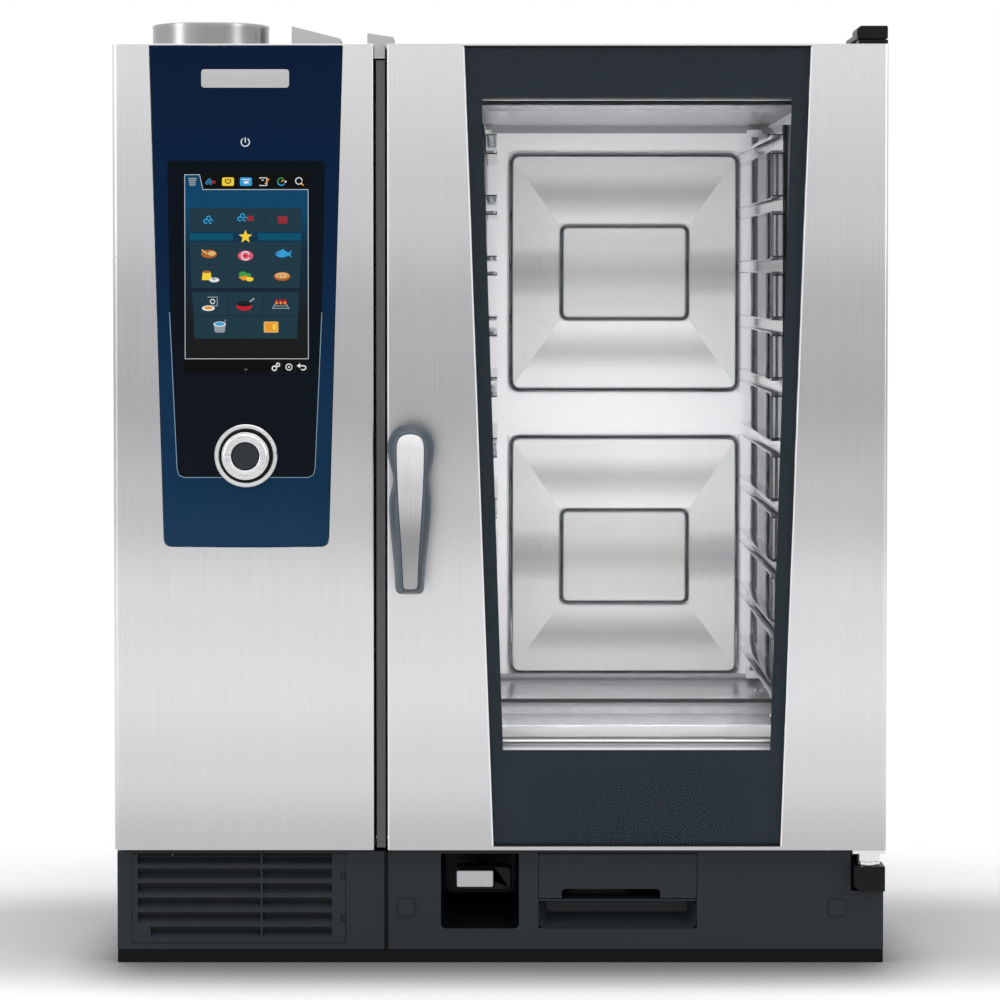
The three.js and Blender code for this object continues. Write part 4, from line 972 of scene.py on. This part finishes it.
def door_glass():
    low, high = mm(PANE_LOW), mm(PANE_HIGH)
    lean_left, lean_right = 31.4, 31.0  # the window is narrower at its lower end
    outline = [(low[0] + 0.3, high[2] - 0.3), (high[0] - 0.3, high[2] - 0.3)]
    outline += [(high[0] - lean_right, low[2] + 0.3), (low[0] + lean_left, low[2] + 0.3)]
    back = high[1]
    build("door_print", [slab([outline, WINDOW], back + 0.06, back + 0.26)], PRINT, "door")
    front = low[1]
    # Near-white strips along the window's slanted edges and the door's left edge are painted highlights,
    # standing for the bright lines on the bevelled sheet edges.
    sides = []
    borders = ((low[0], low[0] + lean_left + 0.3, -1), (high[0], high[0] - lean_right - 0.3, 1))
    for top_x, low_x, way in borders:
        near = [(top_x + way * 0.2, high[2]), (low_x + way * 0.2, low[2])]
        far = [(low_x + way * 1.7, low[2]), (top_x + way * 1.7, high[2])]
        sides.append(slab([near + far], front - 0.75, front + 0.3))
    sides.append(box(DOOR_LOW.x / MM - 0.2, DOOR_LOW.x / MM + 1.2, front - 0.5, front + 0.3, 129, 1013))
    build("door_window_edge_highlights", sides, EDGE_HIGHLIGHT, "door")
    middle_pane = -312.4  # depth of the face that the sills end at
    foot = [(-330, 214), (middle_pane, 214), (middle_pane, 242)]
    head = [(-322, 982), (middle_pane, 982), (middle_pane, 957)]
    sills = [loft([[(x, y, z) for y, z in section] for x in (-58, 352)]) for section in (foot, head)]
    build("door_glass_sills", sills, CAVITY, "door", sharp=20)
    # The sill lips are real rounds; their near-white steel adds a painted highlight along each ridge.
    lips = []
    for y, z, radius, around in ((-316.2, 243.4, 3, 12), (-314.4, 955, 1.2, 10)):
        lips.append(tube([(-44, y, z), (338, y, z)], radius, around))
    build("door_sill_lips", lips, EDGE_HIGHLIGHT, "door")
    above = rectangle(low[0] - 1, high[0] + 1, high[2] - 0.4, high[2] + 1.4)
    below = rectangle(low[0] + lean_left, high[0] - lean_right, low[2] + 0.2, low[2] + 2.2)
    seams = [slab([seam], front - 0.4, front + 0.2) for seam in (above, below)]
    build("door_glass_seams", seams, BLACK, "door")


door_glass()


# ---------- cavity ----------
BACK_WALL = 274  # depth of the cavity's back wall
PRESSED_BY = 20  # the fields stand this far towards the trays
FIELD_WIDE = (9, 306.5)
FIELD_NARROW = (74, 241)
FIELDS = [((611, 919), (702.6, 827)), ((247.5, 558), (340, 465))]


def rim(x0, x1, z0, z1, y, radius, corner):
    """A round bead along a rounded rectangle."""
    inset = radius * 0.9
    path = rectangle(x0 + inset, x1 - inset, z0 + inset, z1 - inset, corner)
    return tube([(x, y, z) for x, z in path], radius, 12, closed=True)


def pressings():
    wall = BACK_WALL - 0.5
    crown = BACK_WALL - PRESSED_BY - 0.5
    beads = []
    for index, ((z0, z1), (a0, a1)) in enumerate(FIELDS):
        middle = ((FIELD_WIDE[0] + FIELD_WIDE[1]) / 2, wall, (z0 + z1) / 2)
        wide = [(x, wall, z) for x, z in rectangle(*FIELD_WIDE, z0, z1)]
        narrow = [(x, crown, z) for x, z in rectangle(*FIELD_NARROW, a0, a1)]
        sides, caps = [], []
        for i in range(4):
            after = (i + 1) % 4
            face = ([wide[i], wide[after], narrow[after], narrow[i]], [(0, 1, 2, 3)])
            (caps if i % 2 == 0 else sides).append(face)
        # The slopes, caps and field carry painted reflection bands in their materials.
        build(f"pressing_{index}_sides", sides, SLOPE_SIDE, "cabinet", origin=middle)
        build(f"pressing_{index}_caps", caps, SLOPE_CAP, "cabinet", origin=middle)
        flat = rectangle(*FIELD_NARROW, a0, a1, 4)
        build(f"pressing_{index}_field", [slab([flat], crown - 0.3, crown)], PAINTED_FIELD_STEEL, "cabinet", origin=middle)
        beads.append(rim(*FIELD_WIDE, z0, z1, wall - 1.0, 4.4, 12))
        beads.append(rim(*FIELD_NARROW, a0, a1, crown - 0.2, 3.8, 9))
    build("pressing_beads", beads, BEAD, "cabinet")


def ceiling_and_floor():
    """Thin sheets on the liner's ceiling, right wall and floor, and the bars that cross the floor."""
    ceiling, floor = 951.6, 242.6
    x0, x1, y0, y1 = -51, 349, -281, 273
    start, end = x0 + 14, x1 - 6  # the front bar and the step end before the walls
    build("ceiling_liner", [box(x0, x1, y0, y1, ceiling - 0.8, ceiling - 0.2)], LINER, "cabinet")
    side = box(x1 - 0.7, x1 - 0.1, y0 + 6, y1 - 22, floor + 12, ceiling - 12)
    build("side_liner", [side], WALL_LINER, "cabinet")
    ribs = [box(x0, x1, -190, -182, ceiling - 3.4, ceiling - 0.7)]
    ribs.append(box(x0, x1, 262, 273, ceiling - 9, ceiling - 0.7))
    build("ceiling_ribs", ribs, LINER, "cabinet")
    build("floor_liner", [box(x0, x1, y0, y1, floor + 0.3, floor + 0.8)], LINER, "cabinet")
    step = [(-75, 0.8), (-27.4, 7.6), (-27.4, 12.6), (4, 12.6), (4, 0.8)]
    bars = [tube([(start, -262, floor + 6.2), (end, -262, floor + 6.2)], 6.8, 16)]
    bars.append(loft([[(x, y, floor + rise) for y, rise in step] for x in (start, end)]))
    bars.append(tube([(x0, y1 - 4, floor + 4), (x1, y1 - 4, floor + 4)], 4, 12))
    build("floor_bars", bars, LINER, "cabinet")
    build("floor_seam", [box(start, end, -28, -27.5, floor + 7.8, floor + 12.4)], RUBBER, "cabinet")


pressings()
ceiling_and_floor()


# ---------- hanging racks ----------
RAIL_TOP = 915.7
RAIL_PITCH = 68
RAIL_HIGH = 15.7
FLANGE = 12.5
WALL = 1.4
RACK_ENDS = (-272, 236)
PIVOT = (228, 253, 942)  # depth, foot and head of the rod that the rack swings on


def rail(face, way, high):
    """One U rail, its mouth flared at the front."""
    low = high - RAIL_HIGH
    tip, root = face + way * FLANGE, face - way * WALL
    rings = []
    near, far = RACK_ENDS
    for y, rise in ((near, 3.4), (near + 5, 2.6), (near + 17, 0), (far, 0)):
        top, foot = high + rise, low - rise
        section = rounded(
            [
                (root, top, 1.8),
                (tip, top, 0.3),
                (tip, top - WALL, 0.3),
                (face, top - WALL, 1),
                (face, foot + WALL, 1),
                (tip, foot + WALL, 0.3),
                (tip, foot, 0.3),
                (root, foot, 1.8),
            ],
            3,
        )
        rings.append([(x, y, z) for x, z in section])
    return loft(rings)


def racks():
    for side, face, way in (("left", -16.2, 1), ("right", 316, -1)):
        rod = face - way * 5.2
        parts = [rail(face, way, RAIL_TOP - row * RAIL_PITCH) for row in range(10)]
        depth, foot, head = PIVOT
        for y in (RACK_ENDS[0] + 22, -20):
            parts.append(tube([(rod, y, 264), (rod, y, 268), (rod, y, 926), (rod, y, 930)], 5, 16))
            parts.append(tube([(rod - way * 9, y + 6, 268), (rod - way * 9, y + 6, 926)], 2.2, 10))
            shoe = rectangle(*sorted((rod - way * 12, rod + way * 17)), 256.5, 264.5, 3)
            parts.append(slab([shoe], y - 9, y + 9))
        parts.append(tube([(rod, depth, foot), (rod, depth, head)], 5, 16))
        for z in (274, 924):
            parts.append(tube([(rod, RACK_ENDS[0] + 22, z), (rod, depth, z)], 4, 12))
        build(f"hanging_rack_{side}", parts, RACK, f"rack_{side}", stands_for=[f"rack_{side}"], sharp=40)


racks()


# ---------- base ----------
def base_details():
    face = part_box("base_panel_left")[0].y / MM
    low, high = mm(FILTER_LOW), mm(FILTER_HIGH)
    pad = box(low[0] + 4, high[0] - 4, face + 7.4, face + 8.6, low[2] + 3, high[2] - 3)
    build("filter_pad", [pad], BLACK, "air_filter")
    blades = []
    for row in range(6):
        z = 28.6 + row * 16.2
        start = -387 if row == 0 else -401
        section = [(face + 0.2, z - 0.4), (face + 7, z + 4.6), (face + 7, z + 5.6), (face + 0.2, z + 0.6)]
        rings = [[(x, y, height) for y, height in section] for x in (start, -187)]
        blades.append(loft(rings))
    build("filter_blades", blades, ANTHRACITE, "air_filter")

    x0, x1, z0, z1 = 42.3, 217.6, 38, 68.5
    outer = rectangle(x0 + 0.4, x1 - 0.4, z0 + 0.4, z1 - 0.4, 6)
    inner = rectangle(x0 + 9, x1 - 9, z0 + 13, z1 - 0.4, 4)
    scoop = loft([[(x, face + 0.6, z) for x, z in outer], [(x, face + 27, z) for x, z in inner]], False)
    build("drawer_grip_scoop", [scoop], ANTHRACITE, "cabinet", sharp=60)
    x0, x1, z0, z1 = -65.9, 20.6, 37.7, 121.4
    mouth = [(x0 + 0.3, z0 + 0.3, 7), (x1 - 0.3, z0 + 0.3, 7), (x1 - 0.3, z1, 0.1), (x0 + 0.3, z1, 0.1)]
    depth = [(x0 + 5, z0 + 22, 9), (x1 - 5, z0 + 22, 9), (x1 - 3, z1, 0.1), (x0 + 3, z1, 0.1)]
    outer, inner = rounded(mouth), rounded(depth)
    well = loft([[(x, face + 4, z) for x, z in outer], [(x, face + 94, z) for x, z in inner]], False)
    build("shower_well", [well], BLACK, "cabinet", sharp=60)
    joint = box(-128.6, -124.2, face + 1.5, face + 6, 15, 124)
    build("base_joint", [joint], PLINTH, "cabinet")


base_details()


# ---------- fixings, labels and the hidden sides ----------
def screw(x, y, z, axis, way, radius=4.2):
    head = [(radius, 0.0), (radius, 0.5), (radius * 0.85, 1.5), (radius * 0.42, 2.0)]
    head += [(radius * 0.36, 1.1), (0.01, 1.1)]
    profile = [(r, way * h) for r, h in head]
    return lathe(profile, (x, y, z), axis, 20)


def fixings():
    right, left, rear, top = 425, -425, BACK_PLANE / MM, COVER_HIGH.z / MM
    screws = []
    for z in (60, 330, 600, 870, 985):
        for x in (-405, 405):
            screws.append(screw(x, rear, z, "Y", 1))
        for y in (-262, 395):
            screws.append(screw(right, y, z, "X", 1))
            screws.append(screw(left, y, z, "X", -1))
    for x in (-405, -60, 130, 405):
        for y in (-255, 400):
            screws.append(screw(x, y, top, "Z", 1))
    build("casing_screws", screws, SATIN, "cabinet")
    plate = rectangle(0, 110, 0, 66, 4)
    label = loft([[(left - d, 180 + x, 190 + z) for x, z in plate] for d in (0.0, 0.7)])
    build("blank_rating_plate", [label], PLATE, "cabinet", sharp=20)
    notice = rectangle(0, 84, 0, 40, 3)
    sticker = loft([[(-360 + x, rear + d, 200 + z) for x, z in notice] for d in (0.0, 0.4)])
    build("blank_connection_label", [sticker], DIFFUSER, "cabinet", sharp=20)
    stud = [(4, 0), (4, 9), (3.4, 10), (0.01, 10)]
    nut = [(7.5, 0), (7.5, 5), (4, 5)]
    bond = [lathe(stud, (-330, rear, 160), "Y", 20), lathe(nut, (-330, rear, 160), "Y", 6)]
    build("bonding_stud", bond, MILL, "cabinet", sharp=30)
    face = COVER_LOW.y / MM
    cap = slab([rectangle(-138.5, -126.6, 998.4, 1012.8, 0.6)], face + 7.2, face + 7.9)
    build("channel_cap", [cap], MILL, "cabinet")


fixings()


# ---------- studio ----------
def make_floor():
    """The studio floor ends softly behind the oven, where the white backdrop takes over; its colour carries a
    painted soft shadow around the oven and a darker painted contact shadow along its front.
    """
    mesh = bpy.data.meshes.new("studio_floor")
    half = 4.0
    corners = [(-half, -half, 0), (half, -half, 0), (half, half, 0), (-half, half, 0)]
    mesh.from_pydata(corners, [], [(0, 1, 2, 3)])
    floor = bpy.data.objects.new("studio_floor", mesh)
    bpy.context.scene.collection.objects.link(floor)
    paint = new_material("studio_floor", (0.90, 0.90, 0.90), 0.8, Specular_IOR_Level=0.1)
    place = add_node(paint, "ShaderNodeTexCoord")
    split = add_node(paint, "ShaderNodeSeparateXYZ")
    link(paint, place.outputs["Object"], split.inputs[0])

    def fade(axis, middle, near, far):
        """1 within near of the middle, along one axis, and 0 beyond far."""
        shift = add_node(paint, "ShaderNodeMath", operation="SUBTRACT")
        shift.inputs[1].default_value = middle
        size = add_node(paint, "ShaderNodeMath", operation="ABSOLUTE")
        link(paint, split.outputs[axis], shift.inputs[0])
        link(paint, shift.outputs[0], size.inputs[0])
        return spread(paint, size.outputs[0], 0.0, 1.0, far, near, interpolation_type="SMOOTHSTEP")

    def painted_shadow(tone, across, along, depth):
        """The tone times 1 - depth where both fades are 1."""
        both = add_node(paint, "ShaderNodeMath", operation="MULTIPLY")
        link(paint, across, both.inputs[0])
        link(paint, along, both.inputs[1])
        level = spread(paint, both.outputs[0], 1.0, 1.0 - depth, 0.0, 1.0)
        total = add_node(paint, "ShaderNodeMath", operation="MULTIPLY")
        total.inputs[0].default_value = 0.90
        if tone:
            link(paint, tone, total.inputs[0])
        link(paint, level, total.inputs[1])
        return total.outputs[0]

    # Painted shadow: a soft shadow around the oven, then a darker contact shadow along its front.
    soft = painted_shadow(None, fade("X", 0, 0.40, 1.10), fade("Y", -0.19, 0.12, 0.37), 0.44)
    painted_contact_shadow = painted_shadow(soft, fade("X", 0, 0.38, 0.50), fade("Y", -0.27, 0.06, 0.25), 0.58)
    feed(paint, painted_contact_shadow, "Base Color")
    feed(paint, fade("Y", -2.0, 2.05, 2.5), "Alpha")
    mesh.materials.append(paint)
    floor.visible_glossy = False


def make_world():
    world = bpy.data.worlds.new("studio")
    bpy.context.scene.world = world
    world.use_nodes = True
    world.node_tree.nodes.clear()
    place = add_node(world, "ShaderNodeTexCoord")
    split = add_node(world, "ShaderNodeSeparateXYZ")
    ramp = add_node(world, "ShaderNodeValToRGB")
    fill_ramp(ramp, [(0.0, 0.95), (0.18, 0.95), (0.27, 0.70), (0.33, 0.90), (0.42, 1.0), (1.0, 1.0)])
    studio = add_node(world, "ShaderNodeBackground")
    white = add_node(world, "ShaderNodeBackground", Color=(1, 1, 1, 1))
    seen = add_node(world, "ShaderNodeLightPath")
    mix = add_node(world, "ShaderNodeMixShader")
    out = add_node(world, "ShaderNodeOutputWorld")
    link(world, place.outputs["Generated"], split.inputs[0])
    link(world, spread(world, split.outputs["Z"], 0.0, 1.0, -0.30, 0.70), ramp.inputs["Fac"])
    link(world, ramp.outputs["Color"], studio.inputs["Color"])
    link(world, seen.outputs["Is Camera Ray"], mix.inputs["Fac"])
    link(world, studio.outputs[0], mix.inputs[1])
    link(world, white.outputs[0], mix.inputs[2])
    link(world, mix.outputs[0], out.inputs["Surface"])


def area_light(name, place, aim, size, power, mirrored):
    data = bpy.data.lights.new(name, "AREA")
    data.shape = "RECTANGLE"
    data.size, data.size_y = size
    data.energy = power
    lamp = bpy.data.objects.new(name, data)
    bpy.context.scene.collection.objects.link(lamp)
    lamp.location = place
    lamp.visible_glossy = mirrored
    lamp.rotation_euler = (Vector(aim) - Vector(place)).to_track_quat("-Z", "Y").to_euler()


make_floor()
make_world()
# name, place, aim, size, watts, seen in reflections
LIGHTS = [
    ("softbox_top", (0, -1.0, 3.4), (0, 0, 0.4), (3.4, 2.6), 26, True),
    ("softbox_left", (-3.2, -1.6, 1.6), (0, 0, 0.6), (0.9, 2.6), 22, True),
    ("softbox_right", (3.2, -2.2, 1.8), (0, 0, 0.6), (1.2, 2.6), 22, True),
    ("cavity_top", (0.15, -0.24, 0.93), (0.15, 0.05, 0.3), (0.34, 0.05), 0.8, False),
    ("cavity_front", (0.15, -0.279, 0.60), (0.15, 0.27, 0.60), (0.34, 0.64), 5.6, False),
    ("cavity_foot", (0.15, -0.27, 0.40), (0.15, -0.10, 0.2426), (0.34, 0.05), 1.1, False),
]
for light in LIGHTS:
    area_light(*light)

bpy.context.scene.view_settings.view_transform = "Standard"
